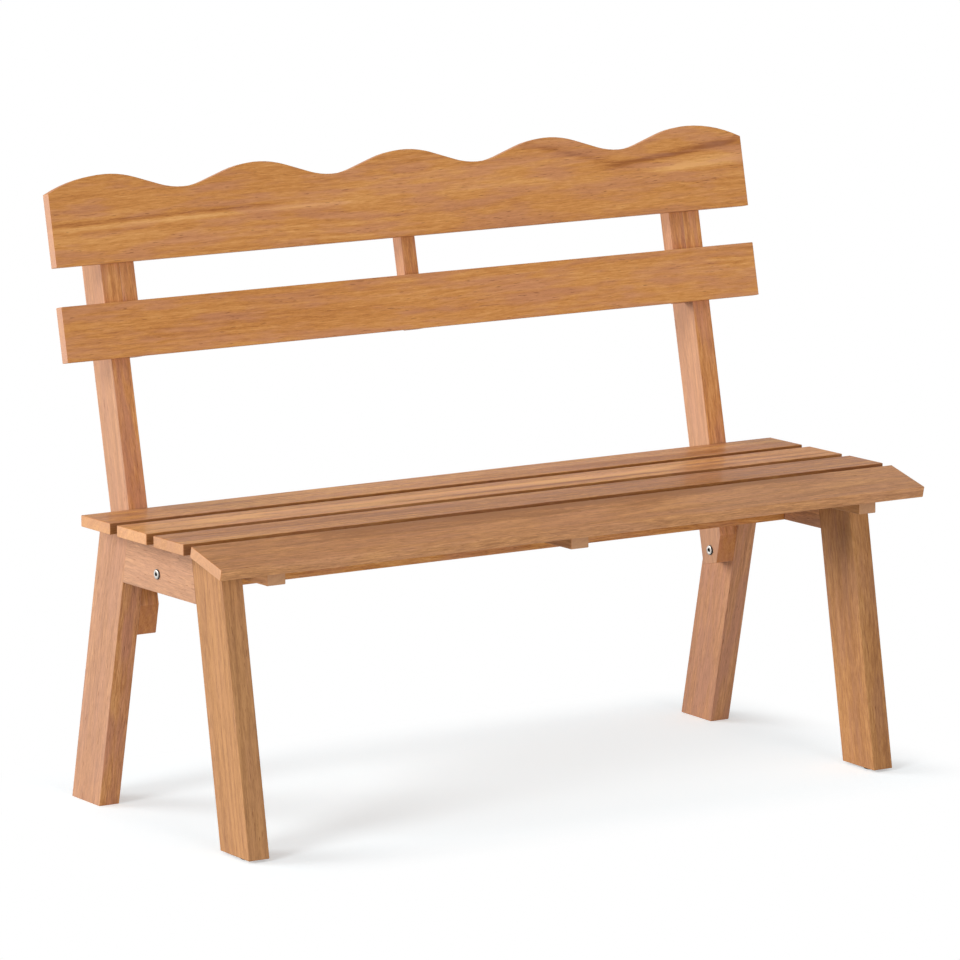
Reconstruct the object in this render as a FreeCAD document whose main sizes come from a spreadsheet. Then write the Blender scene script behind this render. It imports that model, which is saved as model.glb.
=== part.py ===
"""Two-seat garden bench in hardwood, with a scalloped top rail.

Two leg frames, each a front leg, a rear leg and an apron with tenons, are tied by one long
stretcher. Three cleats carry four seat slats, and the front slat tips down. Two leaning posts,
bolted to the inner sides of the rear legs, carry a back panel of two rails on three battens.

Everything is drawn with the seat level: X to the right, Y to the back, Z up. This level frame is
then tipped back by seat_slope about the X axis, so that the two bare rear feet and the two glides
under the front feet stand on the floor, at Z = 0. All lengths are millimetres, angles degrees.
"""
import FreeCAD
import Part
import math
import os
import re
import Sketcher
from FreeCAD import Placement, Rotation, Vector

SIZES = {
    # Seat: four slats, the front one tipped down
    "seat_height": 442.5,
    "seat_slope": 0.85,
    "seat_back_edge": 114.7,
    "slat_length": 1200.0,
    "slat_width": 84.5,
    "slat_thickness": 16.5,
    "slat_gap": 20.0,
    "slat_overhang": 46.5,
    "front_slat_width": 86.0,
    "front_slat_gap": 22.0,
    "front_slat_tilt": 14.4,
    # Cleats under the slats
    "cleat_thickness": 30.0,
    "cleat_height": 37.5,
    "cleat_nose_inset": 8.0,
    "cleat_post_gap": 3.0,
    # Leg frames
    "leg_depth": 79.0,
    "leg_thickness": 33.5,
    "front_leg_lean": 9.4,
    "rear_leg_lean": 13.5,
    "front_foot": -268.3,
    "rear_foot": 161.7,
    "apron_height": 81.0,
    "tenon_length": 25.0,
    "tenon_height": 40.0,
    "tenon_rise": 10.0,
    "tenon_thickness": 12.0,
    # Glides under the front feet
    "glide_height": 4.0,
    "glide_diameter": 21.0,
    "glide_set": 32.0,
    "glide_skirt": 1.2,
    "glide_screw_sink": 0.5,
    # Stretcher between the two aprons
    "stretcher_thickness": 31.0,
    "stretcher_height": 43.5,
    "stretcher_middle": -22.0,
    "stretcher_bolt_rise": 27.0,
    "stretcher_bolt_reach": 44.0,
    "stretcher_dowel_rise": 12.0,
    # Back: posts, rails and battens
    "back_lean": 11.7,
    "post_gap": 2.0,
    "post_thickness": 31.0,
    "post_depth": 55.5,
    "post_rise": 462.0,
    "post_drop": 180.5,
    "rail_thickness": 17.0,
    "rail_length": 1200.0,
    "lower_rail_rise": 217.5,
    "lower_rail_width": 80.5,
    "rail_gap": 56.5,
    "top_rail_width": 128.5,
    "wave_depth": 27.0,
    "wave_pitch": 252.0,
    "crest_radius": 154.5,
    "trough_radius": 121.5,
    "lobe_radius": 218.0,
    "saw_margin": 5.0,
    "batten_width": 24.5,
    "batten_depth": 23.5,
    "batten_reach": 85.5,
    # Connector bolts, with their insert nuts and barrel nuts
    "bolt_diameter": 6.0,
    "bolt_head_diameter": 15.0,
    "bolt_head_height": 2.4,
    "bolt_head_rim": 0.9,
    "bolt_play": 0.25,
    "bolt_overrun": 3.0,
    "bolt_tip_room": 2.0,
    "bolt_tip_chamfer": 1.0,
    "hex_socket": 5.0,
    "hex_socket_depth": 3.0,
    "insert_diameter": 10.0,
    "insert_length": 15.0,
    "nut_chamfer": 0.5,
    "barrel_nut_diameter": 10.0,
    "barrel_nut_length": 16.0,
    "barrel_nut_set": 30.0,
    "cleat_bolt_front": -140.0,
    "cleat_bolt_rear": 80.0,
    "post_bolt_low_depth": 32.0,
    "post_bolt_low_rise": -160.0,
    "post_bolt_high_depth": 19.5,
    "post_bolt_high_rise": -41.0,
    # Wood screws and dowels
    "screw_diameter": 4.0,
    "screw_length": 30.0,
    "screw_bite": 12.0,
    "screw_point": 5.0,
    "screw_head_diameter": 8.0,
    "screw_head_height": 2.5,
    "screw_head_play": 0.5,
    "screw_edge": 22.0,
    "dowel_diameter": 8.0,
    "dowel_length": 30.0,
    "dowel_chamfer": 1.0,
    # Shared by all pieces
    "edge_round": 1.0,
    "thread_play": 0.1,
    "joint_play": 0.2,
}

# Levels and lines of the level frame, as formulas on the sizes
SEAT_UNDER = "(seat_height - slat_thickness)"
CLEAT_UNDER = f"({SEAT_UNDER} - cleat_height)"
STRETCHER_UNDER = f"({CLEAT_UNDER} - stretcher_height)"
APRON_UNDER = f"({SEAT_UNDER} - apron_height)"
FRAME_OUTER = "(slat_length / 2 - slat_overhang)"
FRAME_INNER = f"({FRAME_OUTER} - leg_thickness)"
FRAME_MIDDLE = f"({FRAME_OUTER} - leg_thickness / 2)"
CLEAT_MIDDLE = f"({FRAME_INNER} - cleat_thickness / 2)"
POST_INNER = f"({FRAME_INNER} - post_thickness)"
POST_MIDDLE = f"({FRAME_INNER} - post_thickness / 2)"
BATTEN_INNER = f"({POST_INNER} - batten_width)"
BATTEN_MIDDLE = f"({POST_INNER} - batten_width / 2)"
TOP_RAIL_UNDER = "(lower_rail_rise + lower_rail_width + rail_gap)"
CREST = f"({TOP_RAIL_UNDER} + top_rail_width)"
SAWN_TOP = f"({CREST} + saw_margin)"
BATTEN_TOP = f"({TOP_RAIL_UNDER} + batten_reach)"
POST_FRONT = "(seat_back_edge + post_gap)"
FRONT_RUN = "tan(front_leg_lean)"
REAR_RUN = "(-tan(rear_leg_lean))"
FRONT_LEG_BACK = "(front_foot + leg_depth / cos(front_leg_lean))"
REAR_LEG_BACK = "(rear_foot + leg_depth / cos(rear_leg_lean))"
BOLT_HOLE = "(bolt_diameter + 2 * bolt_play)"
PILOT_HOLE = "(screw_diameter + 2 * thread_play)"
SCREW_SEAT = "(screw_head_diameter + 2 * screw_head_play)"
TIP_DEPTH = "(insert_length + bolt_overrun + bolt_tip_room)"

doc = FreeCAD.newDocument("garden_bench")
sheet = doc.addObject("Spreadsheet::Sheet", "sizes")
pieces = []


def fill_sheet():
    """One cell for each driving dimension, under its own name."""
    for row, (name, number) in enumerate(SIZES.items(), start=1):
        cell = f"A{row}"
        sheet.set(cell, str(number))
        sheet.setAlias(cell, name)
    doc.recompute()


def formula(text):
    """The text with every size name pointed at its cell."""
    return re.sub(r"[a-z]+(?:_[a-z]+)+", lambda found: "sizes." + found.group(), str(text))


def value(text):
    """The number that a formula gives now, in millimetres or degrees."""
    result = sheet.evalExpression(formula(text))
    return float(getattr(result, "Value", result))


# Sketches, all pinned to the sizes

def new_piece(name):
    """An empty body under the name of the real piece."""
    body = doc.addObject("PartDesign::Body", name)
    body.Label = name
    pieces.append(body)
    return body


def place(piece, y, z, lean):
    """Put a piece's own origin at (0, y, z) of the level frame, turned by lean about X, then tip
    it back with the whole bench."""
    turned_y = formula(f"({y}) * cos(seat_slope) + ({z}) * sin(seat_slope)")
    turned_z = formula(f"({z}) * cos(seat_slope) - ({y}) * sin(seat_slope)")
    angle = formula(f"({lean}) - seat_slope")
    where = f"create(<<vector>>; 0; {turned_y}; {turned_z})"
    turn = f"create(<<rotation>>; create(<<vector>>; 1; 0; 0); {angle})"
    piece.setExpression("Placement", f"create(<<placement>>; {where}; {turn})")


def place_level(piece):
    place(piece, "0", "0", "0")


def place_leaning(piece):
    """The back's own frame: its origin is on the posts' front face, level with the seat."""
    place(piece, POST_FRONT, "seat_height", "-back_lean")


def sketch_on(body, name, plane, height="0", along="0", tilt="0"):
    """A sketch on one of the body's own origin planes, moved by height along the plane's normal
    and by along up the sketch, and turned by tilt about the sketch's X axis."""
    sketch = body.newObject("Sketcher::SketchObject", name)
    planes = {feature.Role: feature for feature in body.Origin.OriginFeatures}
    sketch.AttachmentSupport = [(planes[plane], "")]
    sketch.MapMode = "FlatFace"
    where = f"create(<<vector>>; 0; {formula(along)}; {formula(height)})"
    turn = f"create(<<rotation>>; create(<<vector>>; 1; 0; 0); {formula(tilt)})"
    sketch.setExpression("AttachmentOffset", f"create(<<placement>>; {where}; {turn})")
    return sketch


def bind(sketch, kind, terms, text):
    """One named dimension of a sketch, bound to a formula."""
    index = sketch.addConstraint(Sketcher.Constraint(kind, *terms, value(text)))
    name = f"{kind}_{index}"
    sketch.renameConstraint(index, name)
    sketch.setExpression(f"Constraints.{name}", formula(text))


def pin(sketch, curve, end, x, y):
    """Hold a point of a curve at (x, y) from the sketch's origin."""
    bind(sketch, "DistanceX", (-1, 1, curve, end), x)
    bind(sketch, "DistanceY", (-1, 1, curve, end), y)


def outline(sketch, corners):
    """A closed outline of straight lines through the given corners."""
    spots = [Vector(value(x), value(y), 0) for x, y in corners]
    count = len(corners)
    for index in range(count):
        sketch.addGeometry(Part.LineSegment(spots[index], spots[(index + 1) % count]), False)
    for index in range(count):
        sketch.addConstraint(Sketcher.Constraint("Coincident", index, 2, (index + 1) % count, 1))
        pin(sketch, index, 1, *corners[index])


def rectangle(sketch, left, right, low, high):
    outline(sketch, [(left, low), (right, low), (right, high), (left, high)])


def circle(sketch, x, y, diameter):
    curve = sketch.addGeometry(
        Part.Circle(Vector(value(x), value(y), 0), Vector(0, 0, 1), value(diameter) / 2), False)
    pin(sketch, curve, 3, x, y)
    bind(sketch, "Diameter", (curve,), diameter)


# Features

def pad(body, sketch, length):
    """Solid of the given length, half on each side of the sketch."""
    made = body.newObject("PartDesign::Pad", sketch.Name + "_pad")
    made.Profile = sketch
    made.SideType = "Symmetric"
    made.setExpression("Length", formula(length))
    doc.recompute()
    return made


def pocket(body, sketch, length):
    """Cut of the given length, half on each side of the sketch. It must take wood away."""
    before = body.Shape.Volume
    made = body.newObject("PartDesign::Pocket", sketch.Name + "_cut")
    made.Profile = sketch
    made.SideType = "Symmetric"
    made.setExpression("Length", formula(length))
    doc.recompute()
    if body.Shape.Volume >= before:
        raise RuntimeError(f"{made.Name} cuts nothing")
    return made


def ease_edges(body, blank, wanted=lambda edge: True):
    """Sanded edges on a sawn blank, before its holes are made."""
    made = body.newObject("PartDesign::Fillet", body.Name + "_eased")
    edges = [f"Edge{index}" for index, edge in enumerate(blank.Shape.Edges, start=1)
             if wanted(edge)]
    made.Base = (blank, edges)
    made.setExpression("Radius", formula("edge_round"))
    doc.recompute()
    return made


def bores_x(body, name, spots, diameter, start, length, side=1):
    """Round holes along X at spots (y, z), from start outwards on the given side."""
    middle = f"({side}) * (({start}) + ({length}) / 2)"
    sketch = sketch_on(body, name, "YZ_Plane", middle)
    for y, z in spots:
        circle(sketch, y, z, diameter)
    pocket(body, sketch, length)


def bores_y(body, name, spots, diameter, start, length):
    """Round holes along Y at spots (x, z), from start to the back. The plane looks forward."""
    sketch = sketch_on(body, name, "XZ_Plane", f"-(({start}) + ({length}) / 2)")
    for x, z in spots:
        circle(sketch, x, z, diameter)
    pocket(body, sketch, length)


def bores_z(body, name, spots, diameter, start, length):
    """Round holes along Z at spots (x, y), from start upwards."""
    sketch = sketch_on(body, name, "XY_Plane", f"({start}) + ({length}) / 2")
    for x, y in spots:
        circle(sketch, x, y, diameter)
    pocket(body, sketch, length)


# Seat: slats and cleats

CLEAT_PLACES = (f"(-{CLEAT_MIDDLE})", "0", CLEAT_MIDDLE)
SLAT_PITCH = "(slat_width + slat_gap)"
FRONT_SLAT_BACK = f"(seat_back_edge - 3 * slat_width - 2 * slat_gap - front_slat_gap)"
SLATS = (
    ("slat_rear", "seat_back_edge", "slat_width", "0"),
    ("slat_mid_rear", f"(seat_back_edge - {SLAT_PITCH})", "slat_width", "0"),
    ("slat_mid_front", f"(seat_back_edge - 2 * {SLAT_PITCH})", "slat_width", "0"),
    ("slat_front", FRONT_SLAT_BACK, "front_slat_width", "front_slat_tilt"),
)


def slat_origin(back_edge, tilt):
    """Level-frame place of a slat's lower back edge. Its top back edge is at seat height."""
    y = f"({back_edge} + slat_thickness * sin({tilt}))"
    z = f"(seat_height - slat_thickness * cos({tilt}))"
    return y, z


def slat_rows(width):
    """Distances of the two screw rows from a slat's back edge."""
    return "screw_edge", f"({width} - screw_edge)"


def row_spot(back_edge, tilt, row):
    """Level-frame place where a screw of that row enters the slat's underside."""
    y, z = slat_origin(back_edge, tilt)
    return f"({y} - {row} * cos({tilt}))", f"({z} - {row} * sin({tilt}))"


def make_slat(name, back_edge, width, tilt):
    body = new_piece(name)
    sketch = sketch_on(body, name + "_end", "YZ_Plane")
    rectangle(sketch, f"-{width}", "0", "0", "slat_thickness")
    ease_edges(body, pad(body, sketch, "slat_length"))
    for number, row in enumerate(slat_rows(width), start=1):
        pilots = sketch_on(body, f"{name}_pilots_{number}", "XY_Plane",
                           along=f"-{row}", tilt=f"-{tilt}")
        for x in CLEAT_PLACES:
            circle(pilots, x, "0", PILOT_HOLE)
        pocket(body, pilots, "2 * (screw_bite + thread_play)")
    y, z = slat_origin(back_edge, tilt)
    place(body, y, z, tilt)


def screw_seat(back_edge, tilt, row):
    """Level of the screw's head in the cleat, so that its point bites screw_bite deep."""
    enters = row_spot(back_edge, tilt, row)[1]
    return f"({enters} + screw_bite - screw_length)"


def cleat_front():
    y, _ = slat_origin(FRONT_SLAT_BACK, "front_slat_tilt")
    return f"({y} - front_slat_width * cos(front_slat_tilt) + cleat_nose_inset)"


def cleat_outline():
    """Side of a cleat: level top, then the slope that the front slat lies on."""
    slope_y, slope_z = slat_origin(FRONT_SLAT_BACK, "front_slat_tilt")
    front = cleat_front()
    back = f"({POST_FRONT} - (seat_height - {CLEAT_UNDER}) * tan(back_lean) - cleat_post_gap)"
    bend = f"({FRONT_SLAT_BACK} + slat_thickness * tan(front_slat_tilt / 2))"
    nose_top = f"({slope_z} + ({front} - {slope_y}) * tan(front_slat_tilt))"
    return [(front, CLEAT_UNDER), (back, CLEAT_UNDER), (back, SEAT_UNDER), (bend, SEAT_UNDER),
            (front, nose_top)]


def make_cleat(name, middle, side):
    """side is -1 or 1 for a cleat bolted to a leg frame and 0 for the one in the centre."""
    body = new_piece(name)
    sketch = sketch_on(body, name + "_side", "YZ_Plane", middle)
    outline(sketch, cleat_outline())
    ease_edges(body, pad(body, sketch, "cleat_thickness"))
    for slat, back_edge, width, tilt in SLATS:
        for number, row in enumerate(slat_rows(width), start=1):
            spot = [(middle, row_spot(back_edge, tilt, row)[0])]
            seat = screw_seat(back_edge, tilt, row)
            label = f"{name}_{slat}_{number}"
            bores_z(body, label + "_shank", spot, PILOT_HOLE, CLEAT_UNDER, "cleat_height")
            bores_z(body, label + "_head", spot, SCREW_SEAT, CLEAT_UNDER,
                    f"{seat} - {CLEAT_UNDER}")
    if side:
        bores_x(body, name + "_bolts", cleat_bolt_spots(), BOLT_HOLE,
                f"{FRAME_INNER} - cleat_thickness", "cleat_thickness", side)
    place_level(body)


def cleat_bolt_spots():
    level = f"({CLEAT_UNDER} + cleat_height / 2)"
    return [("cleat_bolt_front", level), ("cleat_bolt_rear", level)]


# Leg frames

TENON_LOW = f"({APRON_UNDER} + tenon_rise)"
TENON_HIGH = f"({TENON_LOW} + tenon_height)"


def on_line(face, run, level):
    """Y of a leg's face at a level, from its Y at level zero and its run per rise."""
    return f"({face} + ({level}) * {run})"


def foot_corner(face, run, lift):
    """Where a leg's face meets its foot, lift above the floor line."""
    z = f"(({face} * tan(seat_slope) + {lift}) / (1 - {run} * tan(seat_slope)))"
    return on_line(face, run, z), z


def tenon_end(end):
    """Y of the blind end of the apron's front or rear tenon."""
    if end == "front":
        return f"({on_line(FRONT_LEG_BACK, FRONT_RUN, TENON_HIGH)} - tenon_length)"
    return f"({on_line('rear_foot', REAR_RUN, TENON_HIGH)} + tenon_length)"


def make_leg(name, side, end):
    body = new_piece(name)
    if end == "front":
        front, back, run, lift = "front_foot", FRONT_LEG_BACK, FRONT_RUN, GLIDE_LIFT
    else:
        front, back, run, lift = "rear_foot", REAR_LEG_BACK, REAR_RUN, "0"
    sketch = sketch_on(body, name + "_side", "YZ_Plane", f"({side}) * {FRAME_MIDDLE}")
    outline(sketch, [foot_corner(front, run, lift), foot_corner(back, run, lift),
                     (on_line(back, run, SEAT_UNDER), SEAT_UNDER),
                     (on_line(front, run, SEAT_UNDER), SEAT_UNDER)])
    ease_edges(body, pad(body, sketch, "leg_thickness"))
    cut_mortise(body, name, side, end)
    front_bolt, rear_bolt = cleat_bolt_spots()
    if end == "front":
        make_sockets(body, name, [front_bolt], FRAME_INNER, side)
        bore_for_glide(body, name, side)
    else:
        make_sockets(body, name, [rear_bolt] + post_bolt_spots_level(), FRAME_INNER, side)
    place_level(body)


def cut_mortise(body, name, side, end):
    """Blind mortise for the apron's tenon, open at the leg's face."""
    sketch = sketch_on(body, name + "_mortise", "YZ_Plane", f"({side}) * {FRAME_MIDDLE}")
    play = "joint_play"
    if end == "front":
        left, right = f"{tenon_end(end)} - {play}", on_line(FRONT_LEG_BACK, FRONT_RUN, SEAT_UNDER)
    else:
        left, right = on_line("rear_foot", REAR_RUN, SEAT_UNDER), f"{tenon_end(end)} + {play}"
    rectangle(sketch, left, right, f"{TENON_LOW} - {play}", f"{TENON_HIGH} + {play}")
    pocket(body, sketch, f"tenon_thickness + 2 * {play}")


def make_sockets(body, name, spots, face, side):
    """Stepped holes from a face outwards: an insert nut's socket and room for the bolt's tip."""
    bores_x(body, name + "_tips", spots, BOLT_HOLE, face, TIP_DEPTH, side)
    bores_x(body, name + "_sockets", spots, "insert_diameter + 2 * thread_play", face,
            "insert_length", side)


def runs_along_y(edge):
    return edge.BoundBox.YLength > edge.BoundBox.XLength + edge.BoundBox.ZLength


def make_apron(name, side):
    """The shoulders stay square against the legs, and only the long edges are sanded."""
    body = new_piece(name)
    sketch = sketch_on(body, name + "_side", "YZ_Plane", f"({side}) * {FRAME_MIDDLE}")
    outline(sketch, [(on_line(FRONT_LEG_BACK, FRONT_RUN, APRON_UNDER), APRON_UNDER),
                     (on_line("rear_foot", REAR_RUN, APRON_UNDER), APRON_UNDER),
                     (on_line("rear_foot", REAR_RUN, SEAT_UNDER), SEAT_UNDER),
                     (on_line(FRONT_LEG_BACK, FRONT_RUN, SEAT_UNDER), SEAT_UNDER)])
    ease_edges(body, pad(body, sketch, "leg_thickness"), runs_along_y)
    tenons = sketch_on(body, name + "_tenons", "YZ_Plane", f"({side}) * {FRAME_MIDDLE}")
    rectangle(tenons, tenon_end("front"), tenon_end("rear"), TENON_LOW, TENON_HIGH)
    pad(body, tenons, "tenon_thickness")
    bolt, dowel = stretcher_spots()
    bores_x(body, name + "_bolt", [bolt], BOLT_HOLE, FRAME_INNER, "leg_thickness", side)
    bores_x(body, name + "_dowel", [dowel], DOWEL_HOLE, FRAME_INNER, DOWEL_DEPTH, side)
    place_level(body)


# Glides

GLIDE_LIFT = "glide_height / cos(seat_slope)"


def glide_spot():
    """Level-frame place of a glide's middle, on the underside of the front foot."""
    y, z = foot_corner("front_foot", FRONT_RUN, GLIDE_LIFT)
    return f"({y} + glide_set * cos(seat_slope))", f"({z} + glide_set * sin(seat_slope))"


def bore_for_glide(body, name, side):
    """Pilot hole up into the foot, square to the floor."""
    y, z = glide_spot()
    sketch = sketch_on(body, name + "_glide_pilot", "XY_Plane", height=z, along=y,
                       tilt="seat_slope")
    circle(sketch, f"({side}) * {FRAME_MIDDLE}", "0", PILOT_HOLE)
    pocket(body, sketch, f"2 * {GLIDE_SCREW_DEPTH}")


GLIDE_HEAD = "(screw_head_height + glide_screw_sink)"
GLIDE_SCREW_DEPTH = f"(screw_length - glide_height + {GLIDE_HEAD} + thread_play)"


def make_glide(name, side):
    """Round plastic foot with a skirt, and a sunk hole for its screw."""
    body = new_piece(name)
    x = f"({side}) * {FRAME_MIDDLE}"
    disc = sketch_on(body, name + "_disc", "XY_Plane", "-glide_height / 2")
    circle(disc, x, "0", "glide_diameter")
    blank = pad(body, disc, "glide_height")
    skirt = body.newObject("PartDesign::Fillet", name + "_skirt")
    heights = [edge.CenterOfMass.z for edge in blank.Shape.Edges]
    skirt.Base = (blank, [f"Edge{heights.index(min(heights)) + 1}"])
    skirt.setExpression("Radius", formula("glide_skirt"))
    doc.recompute()
    bores_z(body, name + "_shank", [(x, "0")], PILOT_HOLE, "-glide_height", "glide_height")
    bores_z(body, name + "_head", [(x, "0")], SCREW_SEAT, "-glide_height", GLIDE_HEAD)
    y, z = glide_spot()
    place(body, y, z, "seat_slope")


# Stretcher

DOWEL_HOLE = "(dowel_diameter + 2 * thread_play)"
DOWEL_DEPTH = "(dowel_length / 2 + thread_play)"


def stretcher_spots():
    """Spots (y, z) of the bolt and of the locating dowel below it, in each end."""
    return (("stretcher_middle", f"({STRETCHER_UNDER} + stretcher_bolt_rise)"),
            ("stretcher_middle", f"({STRETCHER_UNDER} + stretcher_dowel_rise)"))


def make_stretcher():
    name = "stretcher"
    body = new_piece(name)
    sketch = sketch_on(body, name + "_end", "YZ_Plane")
    rectangle(sketch, "stretcher_middle - stretcher_thickness / 2",
              "stretcher_middle + stretcher_thickness / 2", STRETCHER_UNDER, CLEAT_UNDER)
    ease_edges(body, pad(body, sketch, f"2 * {FRAME_INNER}"))
    bolt, dowel = stretcher_spots()
    nut_x = f"({FRAME_INNER} - barrel_nut_set)"
    for side in (-1, 1):
        label = f"{name}_{'right' if side > 0 else 'left'}"
        bores_x(body, label + "_bolt", [bolt], BOLT_HOLE,
                f"{FRAME_INNER} - stretcher_bolt_reach", "stretcher_bolt_reach", side)
        bores_x(body, label + "_dowel", [dowel], DOWEL_HOLE,
                f"{FRAME_INNER} - {DOWEL_DEPTH}", DOWEL_DEPTH, side)
        bores_y(body, label + "_nut", [(f"({side}) * {nut_x}", bolt[1])],
                "barrel_nut_diameter + 2 * thread_play",
                "stretcher_middle - barrel_nut_length / 2",
                "stretcher_thickness / 2 + barrel_nut_length / 2")
    place_level(body)


# Back: posts, battens and rails, drawn in their own leaning frame

def to_level(depth, rise):
    """Level-frame place (y, z) of a point in the back's leaning frame."""
    y = f"({POST_FRONT} + ({depth}) * cos(back_lean) + ({rise}) * sin(back_lean))"
    z = f"(seat_height - ({depth}) * sin(back_lean) + ({rise}) * cos(back_lean))"
    return y, z


POST_BOLTS = (("post_bolt_low_depth", "post_bolt_low_rise"),
              ("post_bolt_high_depth", "post_bolt_high_rise"))


def post_bolt_spots_level():
    return [to_level(depth, rise) for depth, rise in POST_BOLTS]


def batten_bolt_spots():
    """One bolt behind the middle of the lower rail and one behind the top rail."""
    depth = "(batten_depth / 2)"
    low = "(lower_rail_rise + lower_rail_width / 2)"
    high = f"({TOP_RAIL_UNDER} + batten_reach / 2)"
    return [(depth, low), (depth, high)]


def rail_screw_rises():
    """Heights of the four screws in each batten, two for each rail."""
    return ("(lower_rail_rise + screw_edge)",
            "(lower_rail_rise + lower_rail_width - screw_edge)",
            f"({TOP_RAIL_UNDER} + screw_edge)", f"({BATTEN_TOP} - screw_edge)")


def make_post(name, side):
    """The lower end is square to the post, and its front is cut flush with the rear leg."""
    body = new_piece(name)
    cut = "tan(back_lean + rear_leg_lean)"
    ahead = f"({on_line('rear_foot', REAR_RUN, 'seat_height')} - {POST_FRONT})"
    leg_line = f"({ahead} * (cos(back_lean) + sin(back_lean) * {cut}))"
    sketch = sketch_on(body, name + "_side", "YZ_Plane", f"({side}) * {POST_MIDDLE}")
    outline(sketch, [("0", "post_rise"), ("0", f"{leg_line} / {cut}"),
                     (f"{leg_line} + post_drop * {cut}", "-post_drop"),
                     ("post_depth", "-post_drop"), ("post_depth", "post_rise")])
    ease_edges(body, pad(body, sketch, "post_thickness"))
    bores_x(body, name + "_bolts", POST_BOLTS, BOLT_HOLE, POST_INNER, "post_thickness", side)
    make_sockets(body, name, batten_bolt_spots(), POST_INNER, side)
    place_leaning(body)


def make_batten(name, middle, side):
    body = new_piece(name)
    sketch = sketch_on(body, name + "_side", "YZ_Plane", middle)
    rectangle(sketch, "0", "batten_depth", "lower_rail_rise", BATTEN_TOP)
    ease_edges(body, pad(body, sketch, "batten_width"))
    spots = [(middle, rise) for rise in rail_screw_rises()]
    seat = "(screw_length - screw_bite)"
    bores_y(body, name + "_shanks", spots, PILOT_HOLE, "0", "batten_depth")
    bores_y(body, name + "_heads", spots, SCREW_SEAT, seat, f"batten_depth - {seat}")
    if side:
        bores_x(body, name + "_bolts", batten_bolt_spots(), BOLT_HOLE, BATTEN_INNER,
                "batten_width", side)
    place_leaning(body)


BATTEN_PLACES = (f"(-{BATTEN_MIDDLE})", "0", BATTEN_MIDDLE)


def bore_pilots(body, name, rises):
    """Blind pilot holes from a rail's back face, one for each screw of each batten."""
    spots = [(x, rise) for x in BATTEN_PLACES for rise in rises]
    bores_y(body, name + "_pilots", spots, PILOT_HOLE, "-(screw_bite + thread_play)",
            "screw_bite + thread_play")


def make_lower_rail():
    name = "lower_rail"
    body = new_piece(name)
    sketch = sketch_on(body, name + "_face", "XZ_Plane", "rail_thickness / 2")
    rectangle(sketch, "-rail_length / 2", "rail_length / 2", "lower_rail_rise",
              "lower_rail_rise + lower_rail_width")
    ease_edges(body, pad(body, sketch, "rail_thickness"))
    bore_pilots(body, name, rail_screw_rises()[:2])
    place_leaning(body)


def make_top_rail():
    """The scalloped rail: a plain board with its top edge sawn to a wave."""
    name = "top_rail"
    body = new_piece(name)
    half = value("rail_length / 2")
    sketch = sketch_on(body, name + "_face", "XZ_Plane", "rail_thickness / 2")
    rectangle(sketch, "-rail_length / 2", "rail_length / 2", TOP_RAIL_UNDER, SAWN_TOP)
    pad(body, sketch, "rail_thickness")
    waste = sketch_on(body, name + "_waste", "XZ_Plane", "rail_thickness / 2")
    draw_waste(waste)
    sawn = pocket(body, waste, "rail_thickness + 2 * saw_margin")
    ease_edges(body, sawn, lambda edge: not (
        edge.BoundBox.YLength > edge.BoundBox.XLength and abs(edge.CenterOfMass.x) < half - 1))
    bore_pilots(body, name, rail_screw_rises()[2:])
    place_leaning(body)


LOBE_REACH = "(0.7 * wave_pitch)"


def end_crest():
    """Half pitches from the middle of the rail to its last crest. Past it there is less board
    than an end lobe can reach."""
    return 2 * math.floor(value(f"(rail_length / 2 + wave_pitch - {LOBE_REACH}) / wave_pitch"))


def wave_slope():
    """Slope of the straight line that touches a crest's arc and the next trough's arc."""
    across = value("wave_pitch / 2")
    down = value("crest_radius + trough_radius - wave_depth")
    reach = value("crest_radius + trough_radius")
    return math.asin(reach / math.hypot(across, down)) - math.atan2(down, across)


def wave_arcs():
    """The wave's arcs from left to right, each as the half pitches from the middle, the name of
    its radius, and the angles that it spans to its left and to its right. The outer half of each
    end crest is a wider lobe, which runs on past the end of the board."""
    slope, end = wave_slope(), end_crest()
    lobe = math.asin(value(f"{LOBE_REACH} / lobe_radius"))
    inner = [(step, "trough_radius" if step % 2 else "crest_radius",
              slope if step > -end else 0, slope if step < end else 0)
             for step in range(-end, end + 1)]
    return [(-end, "lobe_radius", lobe, 0)] + inner + [(end, "lobe_radius", 0, lobe)]


def wave_centre(step, radius):
    """Centre of the arc of a crest, at an even step, or of a trough, at an odd one."""
    level = f"({CREST} - wave_depth + {radius})" if step % 2 else f"({CREST} - {radius})"
    return f"({step} * wave_pitch / 2)", level


def wave_curves():
    """The wave from left to right as (curve, step, radius). Straight slopes have no step."""
    curves = []
    for step, radius, left, right in wave_arcs():
        x, y = wave_centre(step, radius)
        ring = Part.Circle(Vector(value(x), value(y), 0), Vector(0, 0, 1), value(radius))
        if step % 2:
            arc = Part.ArcOfCircle(ring, 3 * math.pi / 2 - left, 3 * math.pi / 2 + right)
            enters, exits = arc.StartPoint, arc.EndPoint
        else:
            arc = Part.ArcOfCircle(ring, math.pi / 2 - right, math.pi / 2 + left)
            enters, exits = arc.EndPoint, arc.StartPoint
        if curves and not enters.isEqual(leaves, value("joint_play")):
            curves.append((Part.LineSegment(leaves, enters), None, None))
        curves.append((arc, step, radius))
        leaves = exits
    return curves


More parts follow.
